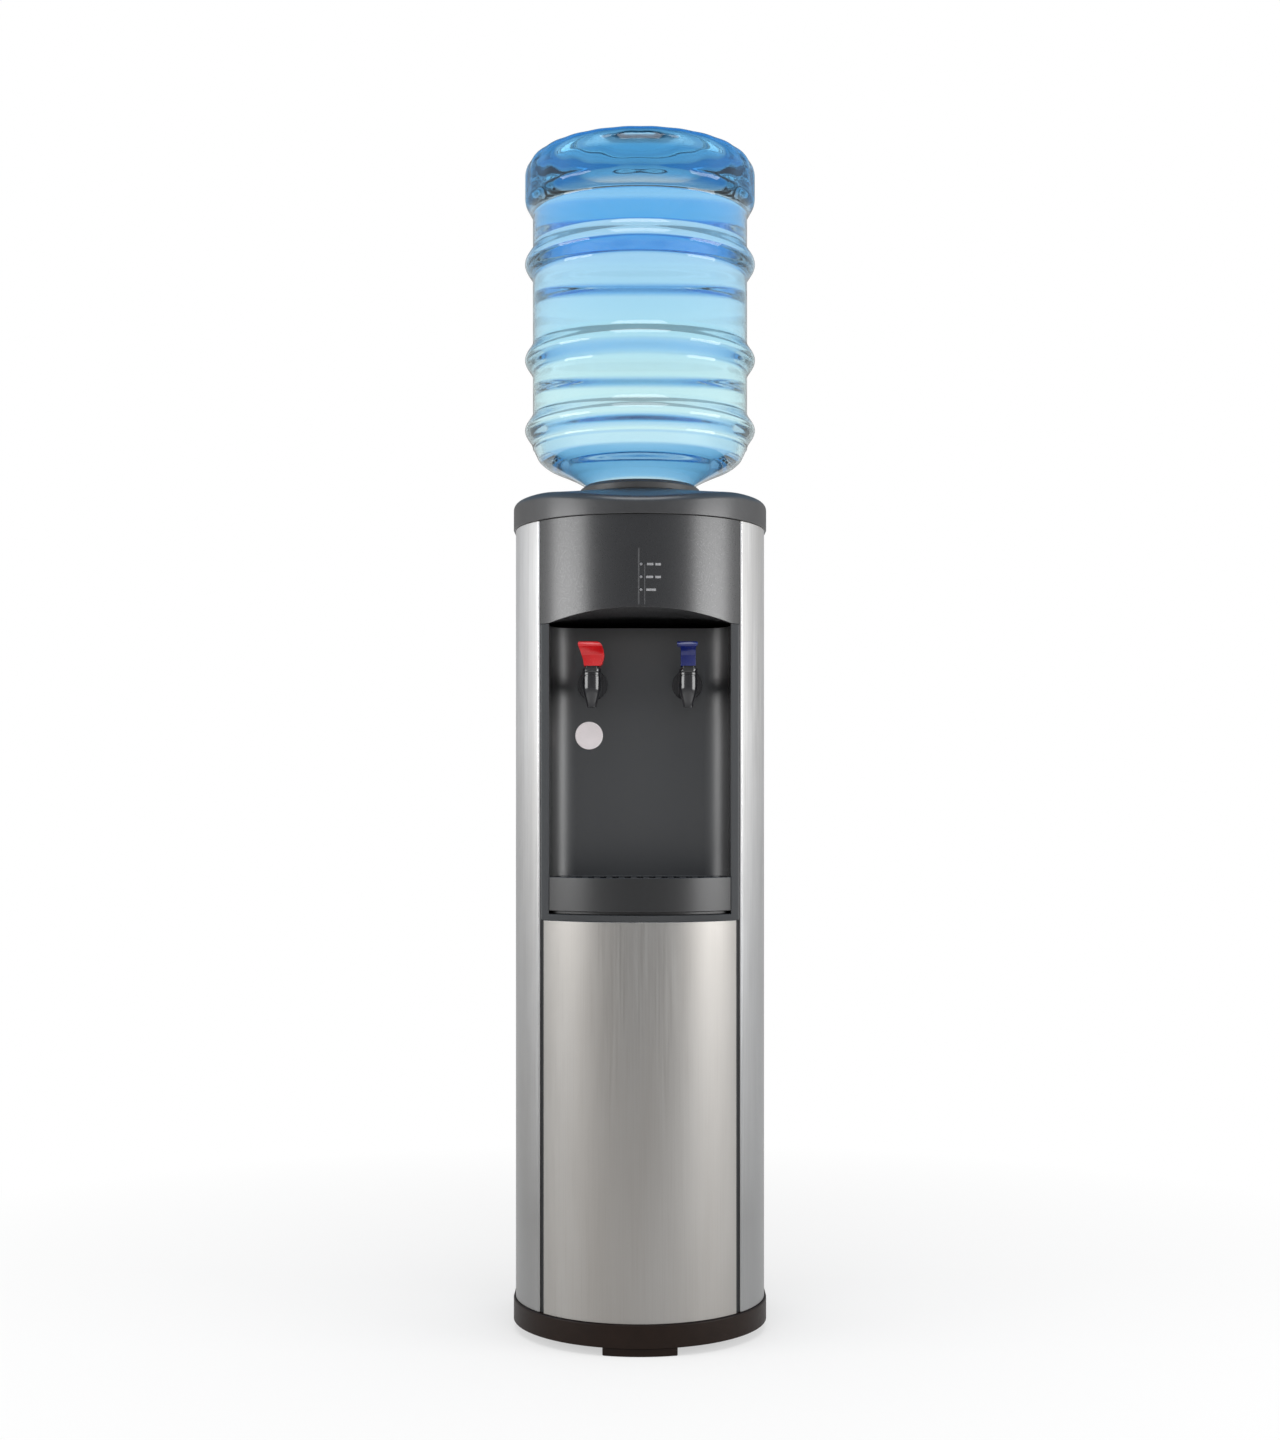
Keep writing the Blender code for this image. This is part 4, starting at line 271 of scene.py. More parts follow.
class Nodes:
    """A node tree, with short ways to add to it. What is fed in is a value or a node's output."""

    def __init__(self, tree):
        self.tree = tree

    def add(self, kind, **settings):
        """A new node with its settings."""
        node = self.tree.nodes.new(kind)
        for key, value in settings.items():
            setattr(node, key, value)
        return node

    def feed(self, socket, value):
        """Links the socket to an output, or sets it."""
        if isinstance(value, bpy.types.NodeSocket):
            self.tree.links.new(value, socket)
        else:
            socket.default_value = value

    def fill(self, node, **values):
        """Feeds a node's sockets, named with _ for a space."""
        for key, value in values.items():
            self.feed(node.inputs[key.replace("_", " ")], value)
        return node

    def ramp(self, value, stops):
        """Colours or greys along a value."""
        ramp = self.add("ShaderNodeValToRGB")
        points = ramp.color_ramp.elements
        while len(points) < len(stops):
            points.new(0.5)
        for point, (place, colour) in zip(points, stops):
            point.position = place
            point.color = (*colour, 1) if isinstance(colour, tuple) else (colour, colour, colour, 1)
        return self.fill(ramp, Fac=value).outputs["Color"]

    def mix(self, share, first, second, blend="MIX"):
        """Two colours, with a share of the second."""
        node = self.add("ShaderNodeMix", data_type="RGBA", blend_type=blend)
        for socket, value in ((0, share), (6, first), (7, second)):  # the ones for colours
            self.feed(node.inputs[socket], value)
        return node.outputs[2]

    def mixed_shaders(self, share, first, second):
        """Two shaders, with a share of the second."""
        node = self.add("ShaderNodeMixShader")
        for socket, value in enumerate((share, first, second)):
            self.feed(node.inputs[socket], value)
        return node.outputs[0]

    def calculated(self, operation, first, second, clamped=False):
        """One operation on two numbers."""
        node = self.add("ShaderNodeMath", operation=operation, use_clamp=clamped)
        self.feed(node.inputs[0], first)
        self.feed(node.inputs[1], second)
        return node.outputs[0]

    def span(self, value, start, end, low=0, high=1):
        """The value's range from start to end laid over low to high."""
        node = self.add("ShaderNodeMapRange")
        self.fill(node, Value=value, From_Min=start, From_Max=end, To_Min=low, To_Max=high)
        return node.outputs["Result"]

    def axes(self, vector):
        """A vector's three parts, by name."""
        return self.fill(self.add("ShaderNodeSeparateXYZ"), Vector=vector).outputs


class Look(Nodes):
    """A material, with its main shader."""

    def __init__(self, name):
        self.material = bpy.data.materials.new(name)
        self.material.use_nodes = True
        super().__init__(self.material.node_tree)
        self.shader = self.tree.nodes["Principled BSDF"]
        self.place = self.add("ShaderNodeTexCoord").outputs["Object"]

    def put(self, **values):
        """Feeds the shader's sockets."""
        self.fill(self.shader, **values)

    def noise(self, scale, detail=4, stretch=(1, 1, 1), roughness=0.5):
        """A cloudy value, so many waves to the metre."""
        place = self.fill(self.add("ShaderNodeMapping"), Vector=self.place, Scale=stretch)
        noise = self.add("ShaderNodeTexNoise")
        self.fill(noise, Vector=place.outputs["Vector"], Scale=scale, Detail=detail, Roughness=roughness)
        return noise.outputs["Fac"]

    def clouds(self, noise, colour, dark, light, reach=0.2):
        """The colour, from dark to light times itself along the middle of a noise."""
        ends = [tuple(min(1, c * factor) for c in colour) for factor in (dark, light)]
        return self.ramp(noise, list(zip((0.5 - reach, 0.5 + reach), ends)))

    def spread(self, noise, low, high):
        """The noise's middle range laid over a new range."""
        return self.span(noise, 0.3, 0.7, low, high)

    def bump(self, value, strength, distance):
        """Relief on the shader's surface."""
        bump = self.fill(self.add("ShaderNodeBump"), Strength=strength, Distance=distance, Height=value)
        self.put(Normal=bump.outputs["Normal"])

    def part(self, axis, low, high):
        """How far along an axis a point is, from 0 at low to 1 at high."""
        return self.span(self.axes(self.place)[axis], low, high)


def plastic(name, colour, gloss, grain=0.00006, variation=0.12, scale=60, coat=0.0, shine=0.5, ior=1.5,
            matt_ahead_of=None, painted_bounce_colour=None):
    """Moulded plastic: cloudy colour, uneven gloss and a fine grain.

    It can be matt ahead of a place along Y, and have a lighter colour on what faces down: painted light, in
    place of light bounced up from below.
    """
    look = Look(name)
    tone = look.clouds(look.noise(scale, detail=5), colour, 1 - variation, 1 + variation)
    # painted light: what faces down is given a lighter colour, in place of light bounced up from below
    if painted_bounce_colour:
        normal = look.add("ShaderNodeNewGeometry").outputs["Normal"]
        facing_down = look.span(look.axes(normal)["Z"], -0.5, -0.9)
        tone = look.mix(facing_down, tone, (*painted_bounce_colour, 1))
    smudges, fine_grain = look.noise(900, detail=3), look.noise(2600, detail=2)
    dullness = look.spread(smudges, gloss * 0.85, gloss * 1.2)
    if matt_ahead_of:
        ahead = look.part("Y", matt_ahead_of + MATT_BORDER, matt_ahead_of - MATT_BORDER)
        dullness = look.ramp(ahead, [(0, gloss), (1, MATT)])
    look.bump(fine_grain, strength=0.25, distance=grain)
    look.put(Base_Color=tone, Roughness=dullness)
    look.put(Coat_Weight=coat, Coat_Roughness=0.06, Specular_IOR_Level=shine, IOR=ior)
    return look.material


def brushed(name, colour, gloss, stretch, streaks=0.16, painted_shade_heights=None):
    """Brushed metal: long streaks of colour and gloss along one axis, and broad soft tones.

    Painted shade heights are (low, high, low share, high share): the colour is painted darker towards the
    bottom, in place of the dim floor that the metal reflects.
    """
    look = Look(name)
    fine = look.noise(700, stretch=stretch, roughness=0.6)
    broad = look.noise(7, detail=3, stretch=(1, 1, 0.22))
    tone = look.clouds(fine, colour, 1 - streaks, 1 + streaks)
    tone = look.mix(1, tone, look.ramp(broad, [(0.35, (0.88, 0.865, 0.845)), (0.65, 1.0)]), "MULTIPLY")
    # painted shade: the colour is darkened towards the bottom, in place of the dim floor's reflection
    if painted_shade_heights:
        low, high, least, most = painted_shade_heights
        tone = look.mix(1, tone, look.ramp(look.part("Z", low, high), [(0, least), (1, most)]), "MULTIPLY")
    look.bump(fine, strength=0.15, distance=0.00004)
    look.put(Base_Color=tone, Roughness=look.spread(fine, gloss * 0.8, gloss * 1.25), Metallic=1.0)
    return look.material


def painted(name, colour, gloss):
    """Sprayed metal with a slight orange peel."""
    look = Look(name)
    tones, smudges, peel = look.noise(30, detail=6), look.noise(200, detail=3), look.noise(500, detail=2)
    look.put(Base_Color=look.clouds(tones, colour, 0.9, 1.08, reach=0.15))
    look.put(Roughness=look.spread(smudges, gloss * 0.85, gloss * 1.2))
    look.bump(peel, strength=0.2, distance=0.00005)
    return look.material


def clear_blue():
    """The bottle's wall: tinted, much deeper towards its base, with faint flow marks."""
    look = Look("bottle_plastic")
    flow_marks, smudges = look.noise(26, detail=2, stretch=(1, 1, 2.5)), look.noise(40, detail=3)
    look.bump(flow_marks, strength=0.12, distance=0.0006)
    look.put(Base_Color=look.ramp(look.part("Z", *BOTTLE_TINT_HEIGHTS), BOTTLE_TINTS))
    look.put(Roughness=look.spread(smudges, 0.02, 0.05), Transmission_Weight=1.0, IOR=1.45)
    return look.material


def water_blue():
    """Clear water, with a faint tint."""
    look = Look("water")
    tint = look.ramp(look.noise(5, detail=2), [(0.3, (0.90, 0.965, 0.985)), (0.7, (0.94, 0.985, 0.99))])
    look.put(Base_Color=tint, Transmission_Weight=1.0, IOR=1.33, Roughness=0.0)
    return look.material


MATT, MATT_BORDER = 0.9, 0.002  # the roughness, and half the depth over which it comes in
BOTTLE_TINT_HEIGHTS = (0.95, 1.378)
# Pale at the neck and deep in the band at the top, by share of those heights
BOTTLE_TINTS = [
    (0.0, (0.95, 1.0, 1.0)), (0.15, (0.86, 0.97, 1.0)), (0.35, (0.78, 0.94, 0.95)),
    (0.62, (0.62, 0.84, 0.96)), (0.848, (0.70, 0.85, 0.96)), (0.862, (0.17, 0.54, 0.90)),
    (0.935, (0.15, 0.53, 0.91)), (0.95, (0.38, 0.70, 0.96)), (0.97, (0.30, 0.65, 0.95)),
    (1.0, (0.02, 0.36, 0.83)),
]  # fmt: skip

ALONG_Z = (1, 1, 0.012)
FRONT_STEEL = brushed("brushed_steel", (0.385, 0.37, 0.352), 0.43, ALONG_Z, 0.06)
# painted shade: the side steel is painted darker towards the bottom, standing in for the dim floor it
# reflects
SIDE_STEEL = brushed("side_steel", (0.88, 0.88, 0.88), 0.36, ALONG_Z, 0.08, painted_shade_heights=(0.14, 0.70, 0.38, 1.0))
CAP_GREY = plastic("grey_plastic", (0.030, 0.030, 0.031), 0.32, shine=0.8)
LINER_DARK = plastic(
    "liner_plastic", (0.005, 0.005, 0.0055), 0.45, grain=0.00003, variation=0.1, scale=40, shine=1.0,
    ior=1.62, matt_ahead_of=-0.094,
)  # fmt: skip
COLLAR_GREY = plastic("collar_plastic", (0.075, 0.075, 0.074), 0.42)
# painted light: the dark plastic's downward faces, such as the alcove's ceiling, get a lighter colour in
# place of light bounced up from below
GLOSS_DARK = plastic(
    "dark_plastic", (0.011, 0.011, 0.012), 0.3, grain=0.00002, variation=0.1, scale=40, shine=0.9,
    painted_bounce_colour=(0.036, 0.036, 0.038),
)  # fmt: skip
TRAY_DARK = plastic(
    "tray_plastic", (0.006, 0.006, 0.0065), 0.34, grain=0.00002, variation=0.1, scale=40, shine=0.75
)
BLACK = plastic("black_plastic", (0.012, 0.012, 0.014), 0.14, grain=0.00002, variation=0.15, coat=0.4)
BASE_BROWN = plastic("base_plastic", (0.0125, 0.006, 0.0035), 0.42, shine=0.16)
SEAM_DARK = plastic("seam_plastic", (0.008, 0.008, 0.009), 0.5, shine=0.3)
RED = plastic("red_plastic", (0.50, 0.005, 0.008), 0.24, grain=0.00003, variation=0.1, scale=80, coat=0.15)
BLUE = plastic("blue_plastic", (0.003, 0.009, 0.105), 0.24, grain=0.00003, scale=80, coat=0.15)
WHITE = plastic("white_plastic", (0.72, 0.72, 0.70), 0.3, grain=0.00003, variation=0.05)
DISC = plastic("disc_white", (0.93, 0.86, 0.87), 0.3, grain=0.00003, variation=0.04)
LENS = plastic("lens_white", (0.20, 0.20, 0.21), 0.15, grain=0.00001, variation=0.05)
PRINT = plastic("print_white", (0.27, 0.27, 0.28), 0.4, grain=0.00001, variation=0.3, scale=700)
PRINT_FAINT = plastic("print_grey", (0.075, 0.075, 0.078), 0.4, grain=0.00001, variation=0.2, scale=300)
STAINLESS = brushed("stainless", (0.58, 0.57, 0.55), 0.26, (1, 1, 0.05))
GALVANISED = brushed("galvanised", (0.50, 0.51, 0.52), 0.42, (1, 1, 0.3), 0.2)
COPPER = brushed("copper", (0.72, 0.36, 0.20), 0.3, (1, 1, 1))
ENAMEL = painted("black_enamel", (0.016, 0.016, 0.017), 0.42)
RUBBER = plastic("rubber", (0.022, 0.022, 0.022), 0.6, grain=0.00012)
SILICONE = plastic("silicone", (0.60, 0.60, 0.56), 0.42, grain=0.00005)
FOAM = plastic("foam", (0.66, 0.60, 0.42), 0.8, grain=0.0006, variation=0.16, scale=220)
BOARD_GREEN = plastic("circuit_green", (0.02, 0.16, 0.06), 0.35)
BOTTLE_BLUE = clear_blue()
WATER = water_blue()


# Camera, light and floor


PURE_WHITE = (1, 1, 1, 1)
WORLD_LIGHT = 0.6
# Colours by the height of a direction, up to 1 for straight up, and greys from the front to the back
SKY = [(0.26, 1.0), (0.48, (0.40, 0.64, 0.90)), (0.80, (0.18, 0.47, 0.78)), (0.97, (0.02, 0.10, 0.22))]
FRONT_TO_BACK = [(0.0, (0.34, 0.34, 0.35)), (0.38, 1.0), (0.62, 1.0), (0.80, 0.55), (1.0, 0.30)]


def camera():
    """Level and straight ahead of the front, as for the photograph, with the picture shifted up."""
    distance, height = 2.357, 0.602
    view = link("camera", bpy.data.cameras.new("camera"))
    view.location = (0, -distance, height)
    view.rotation_euler = (math.pi / 2, 0, 0)
    view.data.lens = 49.8
    view.data.sensor_width = 36
    view.data.shift_y = 0.066
    scene.camera = view


def lamp(name, place, aim, size, power):
    """A flat lamp that the bottle doesn't show."""
    light = bpy.data.lights.new(name, "AREA")
    light.shape = "RECTANGLE"
    light.size, light.size_y = size
    light.energy = power
    obj = link(name, light)
    obj.location = place
    obj.rotation_euler = (Vector(aim) - Vector(place)).to_track_quat("-Z", "Y").to_euler()
    obj.visible_transmission = False


def lamps():
    """A tall softbox on each side, which the steel shows as a bright band, and one overhead."""
    away, ahead, width, power_per_height = 2.0, -0.88, 1.35, 24.2
    for side, height, tall in ((-1, 0.96, 0.79), (1, 0.88, 0.95)):
        aim = (0, 0, height - 0.03)
        lamp(f"softbox_{side + 2}", (side * away, ahead, height), aim, (width, tall), power_per_height * tall)
    lamp("overhead", place=(0, -1.2, 2.9), aim=(0, 0, 0.7), size=(1.6, 1.2), power=24)


def studio():
    """Plain light on the object, white for the camera, and a sky seen in gloss and through the bottle.

    In gloss the sky is also dimmer ahead of the object and behind it.
    """
    world = bpy.data.worlds.new("studio")
    scene.world = world
    world.use_nodes = True
    sky = Nodes(world.node_tree)
    light = sky.fill(sky.tree.nodes["Background"], Color=PURE_WHITE, Strength=WORLD_LIGHT)
    rays = sky.add("ShaderNodeLightPath").outputs
    straight, glossy, through = (rays[f"Is {kind} Ray"] for kind in ("Camera", "Glossy", "Transmission"))
    seen = sky.calculated("MAXIMUM", sky.calculated("MAXIMUM", straight, glossy), through)
    direction = sky.axes(sky.add("ShaderNodeTexCoord").outputs["Generated"])
    colour = sky.mix(straight, sky.ramp(direction["Z"], SKY), PURE_WHITE)
    dimming = sky.ramp(sky.span(direction["Y"], -1, 1), FRONT_TO_BACK)
    only_glossy = sky.calculated("SUBTRACT", glossy, through, clamped=True)
    shown = sky.add("ShaderNodeBackground")
    sky.fill(shown, Color=sky.mix(only_glossy, colour, dimming, "MULTIPLY"))
    surface = sky.mixed_shaders(seen, light.outputs[0], shown.outputs[0])
    sky.fill(sky.tree.nodes["World Output"], Surface=surface)


def floor():
    """A pale floor that takes the object's shadow and turns white for the camera away from it."""
    work = bmesh.new()
    bmesh.ops.create_circle(work, cap_ends=True, segments=96, radius=9)
    ground = shape("floor", work)
    look = Look("pale_floor")
    look.put(Base_Color=(0.86, 0.86, 0.86, 1), Roughness=0.7, Specular_IOR_Level=0.1)
    near, far, least = 0.15, 1.3, 0.55
    away = look.add("ShaderNodeVectorMath", operation="LENGTH")
    look.feed(away.inputs[0], look.place)
    whiteness = look.span(away.outputs["Value"], near, far, least, 1)
    straight = look.add("ShaderNodeLightPath").outputs["Is Camera Ray"]
    share = look.calculated("MULTIPLY", whiteness, straight)
    white = look.add("ShaderNodeEmission")
    surface = look.mixed_shaders(share, look.shader.outputs[0], white.outputs[0])
    output = next(node for node in look.tree.nodes if node.type == "OUTPUT_MATERIAL")
    look.fill(output, Surface=surface)
    ground.data.materials.append(look.material)


# Casing


def plinth():
    """The wall of the base, with a rounded upper edge."""
    low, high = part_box("base_plinth")
    edge, steps = 0.002, 6
    rings = [(WALL, high.z - WALL), (WALL, low.z), (0, low.z)]
    for step in range(steps + 1):
        turn = step / steps * math.pi / 2
        rings.append((edge * (1 - math.cos(turn)), high.z - edge * (1 - math.sin(turn))))
    sections = [[(x, y, z) for x, y in body_plan(inset - RIM_PROUD)] for inset, z in rings]
    shell = lofted("plinth_shell", sections, 50)
    fitted(shell, BASE_BROWN, "cabinet", ["base_plinth"])


def feet():
    """The tongue under the front, on two posts, and a round foot under each rear corner."""
    low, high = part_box("foot_front")
    setback, top = 0.003, 0.0097
    front = BODY_RADIUS + RIM_PROUD - setback
    half = math.asin(high.x / front)
    line = arc(MIDDLE, front, -math.pi / 2 - half, -math.pi / 2 + half, SIDE_STEPS)
    tongue = prism("front_foot_tongue", [*line, (high.x, high.y), (low.x, high.y)], low.z, top)
    radius, side, ahead, bottom = 0.008, 0.025, -0.129, 0.005
    profile = [(0, bottom), (radius, bottom), (radius, high.z), (0, high.z)]
    combined(tongue, "UNION", [turned("post", profile, (x, ahead, 0), 48) for x in (-side, side)])
    fitted(rounded(tongue, 0.0012), BASE_BROWN, "cabinet", ["foot_front"])

    stem, pad, thick, edge, aside, behind = 0.008, 0.017, 0.010, 0.002, 0.096, 0.092
    profile = [(0, high.z), (stem, high.z), (stem, thick), (pad, thick), (pad, edge), (pad - edge, 0), (0, 0)]
    for name, x in (("left", -aside), ("right", aside)):
        foot = turned(f"rear_foot_{name}", profile, (x, behind, 0))
        fitted(rounded(foot, 0.0006), BASE_BROWN, "cabinet", [f"foot_rear_{name}"])


def steel_sheets():
    """The side panels, which wrap round from the seams to the back, and the lower door between them."""
    door_low, door_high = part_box("lower_front_panel")
    side_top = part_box("side_panel_left")[1].z
    start = front_bearing(FRONT_HALF + SEAM_GAP)
    folded = [on_circle(BODY_RADIUS - drop, start) for drop in (SEAM_DEPTH, SEAM_FOLD)]
    line = [*folded, *right_side(0, start + SEAM_TURN), (REAR_PANEL_HALF + SLACK, BODY_REAR)]
    for name, points in (("right", line), ("left", mirrored(line))):
        panel = strip(f"steel_side_{name}", points, SHEET, door_low.z, side_top)
        fitted(rounded(panel, 0.0004, 2), SIDE_STEEL, "cabinet", [f"side_panel_{name}"])

    end = front_bearing(DOOR_HALF)
    middle = arc(MIDDLE, BODY_RADIUS, -math.pi - end + SEAM_TURN, end - SEAM_TURN, ROUND_STEPS)
    folded = [on_circle(BODY_RADIUS - drop, end) for drop in (SEAM_FOLD, SEAM_DEPTH)]
    door = strip("lower_front_steel", [*mirrored(folded), *middle, *folded], SHEET, door_low.z, door_high.z)
    fitted(rounded(door, 0.0004, 2), FRONT_STEEL, "cabinet", ["lower_front_panel"])


def door_trims():
    """The dark strips that show in the seams beside the lower door."""
    low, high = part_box("lower_front_panel")
    outer, inner = BODY_RADIUS - SEAM_FOLD, BODY_RADIUS - 0.0045
    start, end = front_bearing(DOOR_HALF - 0.004), front_bearing(FRONT_HALF + 0.0006)
    right = [*arc(MIDDLE, outer, start, end, 6), *arc(MIDDLE, inner, end, start, 6)]
    for name, points in (("right", right), ("left", mirrored(right))):
        trim = prism(f"door_edge_{name}", points, low.z, high.z)
        fitted(rounded(trim, 0.0003, 2), SEAM_DARK)


# Alcove, fascia and cap


def jamb_back():
    """The Y at which the liner's jambs end and its flat side walls start."""
    return JAMB_DEPTH - math.sqrt(BODY_RADIUS**2 - FRONT_HALF**2)


def recess(outwards, front_y):
    """The right half of the alcove's walls in plan, from the front to the middle of the back."""
    bend = (ALCOVE_HALF - ALCOVE_CORNER, -ALCOVE_BACK - ALCOVE_CORNER)
    corner = arc(bend, ALCOVE_CORNER + outwards, 0, math.pi / 2, 2 * CORNER_STEPS)
    return [(ALCOVE_HALF + outwards, front_y), *corner]


def ceiling_back(x):
    """Where the ceiling ends at the back, above the liner's outer face."""
    outer = ALCOVE_CORNER + WALL
    along = abs(x) - (ALCOVE_HALF - ALCOVE_CORNER)
    if along <= 0:
        return WALL - ALCOVE_BACK
    if along >= outer:
        return jamb_back()
    return -ALCOVE_BACK - ALCOVE_CORNER + math.sqrt(outer**2 - along**2)


def alcove():
    """The liner with its rail at the bottom, and the blank disc on its back wall."""
    low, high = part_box("alcove_liner")
    rail_height, disc_x, disc_z = 0.007, -0.059, 0.694
    walls = [front_line(JAMB)[-1], *recess(WALL, jamb_back())]
    liner = prism("alcove_shell", [*front_line(0), *walls, *mirrored(walls)], low.z, high.z)
    air = recess(0, -BODY_RADIUS - OVERRUN)
    carved(liner, prism("air", [*air, *mirrored(air)], low.z + rail_height, high.z + OVERRUN))
    fitted(rounded(liner, 0.0008, 2, 40), LINER_DARK, "cabinet", ["alcove_liner"])

    ring = [(0.0148, 0), (0.016, 0.0002), (0.016, 0.0005), (0.0155, 0.0007), (0.0148, 0.00055), (0, 0.00055)]
    disc = turned("plain_disc", ring, (disc_x, -ALCOVE_BACK - 0.0002, disc_z), 72, "-Y", sharp=None)
    fitted(disc, DISC)


def fascia():
    """The front above the alcove and the alcove's ceiling, which meet along a low arch."""
    low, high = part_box("control_fascia")
    arch_rise, steps = 0.0145, 160
    face, inside, jamb = (front_line(inset, steps) for inset in (0, WALL, JAMB))
    sections = []
    for step, (x, front) in enumerate(face):
        bottom = low.z + arch_rise * max(0, 1 - (x / ALCOVE_HALF) ** 2)
        depth = -math.sqrt((BODY_RADIUS - WALL) ** 2 - x**2)
        inner = (x, depth)
        back = (x, max(ceiling_back(x), depth + WALL))
        if step in (0, steps):
            inner, back = inside[step], jamb[step]
        sections.append(
            [
                (x, front, high.z), (x, front, bottom), (*back, low.z), (*back, low.z + WALL),
                (*inner, bottom + WALL), (*inner, high.z),
            ]
        )  # fmt: skip
    shell = lofted("fascia_shell", sections)
    fitted(rounded(shell, 0.0009, 3, 40), GLOSS_DARK, "cabinet", ["control_fascia"])


def cap_dip(x, y):
    """How much lower the cap's rim is at a place, as it sags across the front."""
    depth, reach = 0.011, math.radians(54)
    away = abs(math.atan2(x, -y)) / reach
    return depth * math.cos(min(away, 1) * math.pi / 2) ** 2


def cap_plan(inset):
    """The cap's plan, moved inwards, with its straight sides divided."""
    plan = body_plan(inset - RIM_PROUD)
    whole = body_plan(0)
    longest = 0.004
    points = []
    for i, (here, there) in enumerate(zip(plan, [*plan[1:], plan[0]])):
        length = math.dist(whole[i], whole[(i + 1) % len(whole)])
        pieces = max(1, round(length / longest))
        points += [tuple(a + (b - a) * k / pieces for a, b in zip(here, there)) for k in range(pieces)]
    return points


def cap():
    """The cap's wall, its rounded rim, which dips at the front, and its top, which rises to the collar."""
    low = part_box("top_cap")[0]
    rim = low.z + 0.032
    collar_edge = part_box("bottle_collar")[1].x
    land, lip = collar_edge + 0.002, collar_edge - 0.009
    land_top, lip_bottom = rim + 0.009, rim + 0.004
    wall, chamfer, fillet = 0.004, 0.0006, 0.009
    fillet_steps, slope_steps = 10, 12
    rings = [
        [(x, y, low.z + up) for x, y in cap_plan(inset)]
        for inset, up in ((wall, wall), (wall, 0), (chamfer, 0), (0, chamfer))
    ]
    for step in range(fillet_steps + 1):
        turn = step / fillet_steps * math.pi / 2
        drop = fillet * (1 - math.sin(turn))
        plan = cap_plan(fillet * (1 - math.cos(turn)))
        rings.append([(x, y, rim - cap_dip(x, y) - drop) for x, y in plan])
    bearings = [math.atan2(y, x) for x, y in cap_plan(0)]
    edge = [Vector(point) for point in rings[-1]]
    top = [Vector((*on_circle(land, bearing), land_top)) for bearing in bearings]
    for step in range(1, slope_steps + 1):
        rings.append([tuple(a.lerp(b, step / slope_steps)) for a, b in zip(edge, top)])
    for height in (land_top, lip_bottom):
        rings.append([(*on_circle(lip, bearing), height) for bearing in bearings])
    shell = lofted("cap_shell", rings, 40, ends=False)
    fitted(shell, CAP_GREY, "cabinet", ["top_cap"])


def collar():
    """The ring that the bottle stands on, with the well for its neck below."""
    low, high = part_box("bottle_collar")
    outer, top, foot = high.x, high.z, low.z
    base = top - 0.011
    cone, well = base - 0.014, base - 0.050
    seat, spigot = outer - 0.0064, outer - 0.0094
    well_outer, well_inner, drain = 0.039, 0.036, 0.0073
    profile = [
        (seat + 0.001, top), (outer, base + 0.0067), (outer, base), (spigot, base), (spigot, cone),
        (well_outer, well), (well_outer, foot), (drain, foot), (drain, foot + WALL),
        (well_inner, foot + WALL), (well_inner, well), (spigot - 0.003, cone), (spigot - 0.001, base),
        (seat, top),
    ]  # fmt: skip
    ring = turned("collar_ring", profile, steps=128, closed=True)
    fitted(rounded(ring, 0.0005, 2, 25), COLLAR_GREY, "cabinet", ["bottle_collar"])


# Bottle


def smooth_line(points, steps):
    """A curve through the points, with so many steps between each two."""
    line = []
    for i in range(len(points) - 1):
        p = [Vector(points[min(max(i + k, 0), len(points) - 1)]) for k in (-1, 0, 1, 2)]
        linear = p[2] - p[0]
        square = 2 * p[0] - 5 * p[1] + 4 * p[2] - p[3]
        cubic = 3 * p[1] - p[0] - 3 * p[2] + p[3]
        for t in (step / steps for step in range(steps)):
            line.append(0.5 * (2 * p[1] + linear * t + square * t**2 + cubic * t**3))
    return [tuple(v) for v in line] + [tuple(points[-1])]


BOTTLE_WALL = 0.0016
FLUTES = 24
FLUTE_DEPTH = 0.0011
FLUTE_START = 0.112  # they fade out inside this radius
FLUTE_LENGTH = 0.060
FLUTE_FADE = 0.022
# The shoulder as shares of its way out from the neck and of its height, from the body down
SHOULDER = (
    (1.0, 1.0), (0.955, 0.898), (0.914, 0.832), (0.813, 0.755), (0.652, 0.684), (0.5, 0.612), (0.369, 0.531),
    (0.247, 0.418), (0.146, 0.286), (0.056, 0.133), (0.0, 0.0),
)  # fmt: skip


def bottle_line(bottom, top):
    """The bottle's outer side from the middle of its base, now on top, down to its neck."""
    body, rib, neck = 0.1265, 0.0093, 0.0275
    rim, corner = body + rib, 0.0255
    flat = rim - corner - 0.016
    dome = [
        (0, top - 0.019), (0.030, top - 0.0175), (0.055, top - 0.013), (flat - 0.018, top - 0.0079),
        (flat - 0.010, top - 0.0045), (flat, top - 0.0003),
    ]  # fmt: skip
    band = top - 0.0425
    under_band = [
        (rim, band - 0.0065), (rim - 0.0006, band - 0.012), (rim - rib / 2, band - 0.0198),
        (body + 0.0006, band - 0.0275), (body, band - 0.033),
    ]  # fmt: skip
    line = smooth_line(dome, 6)
    line += arc((rim - corner, top - corner), corner, math.pi / 2, 0, 24)
    line += smooth_line(under_band, 6)
    neck_top = bottom + 0.046
    rib_reach, rib_steps, shoulder_height = 0.021, 16, 0.098
    for middle in (neck_top + 0.3134, neck_top + 0.2004, neck_top + 0.1174):
        for step in range(2 * rib_steps + 1):
            share = 1 - step / rib_steps
            line.append((body + rib * math.cos(share * math.pi / 2) ** 2, middle + share * rib_reach))
    shoulder = [(neck + out * (body - neck), neck_top + rise * shoulder_height) for out, rise in SHOULDER]
    line += [point for point in smooth_line(shoulder, 6) if point[1] < line[-1][1] - 0.0005]
    return [*line, (neck, bottom)]


def offset_line(line, distance):
    """The line moved inwards by a distance, square to itself."""
    moved = []
    for i, (radius, height) in enumerate(line):
        along = (Vector(line[min(i + 1, len(line) - 1)]) - Vector(line[max(i - 1, 0)])).normalized()
        moved.append((max(0, radius + along.y * distance), height - along.x * distance))
    moved[0] = (0, line[0][1] - distance)
    return moved


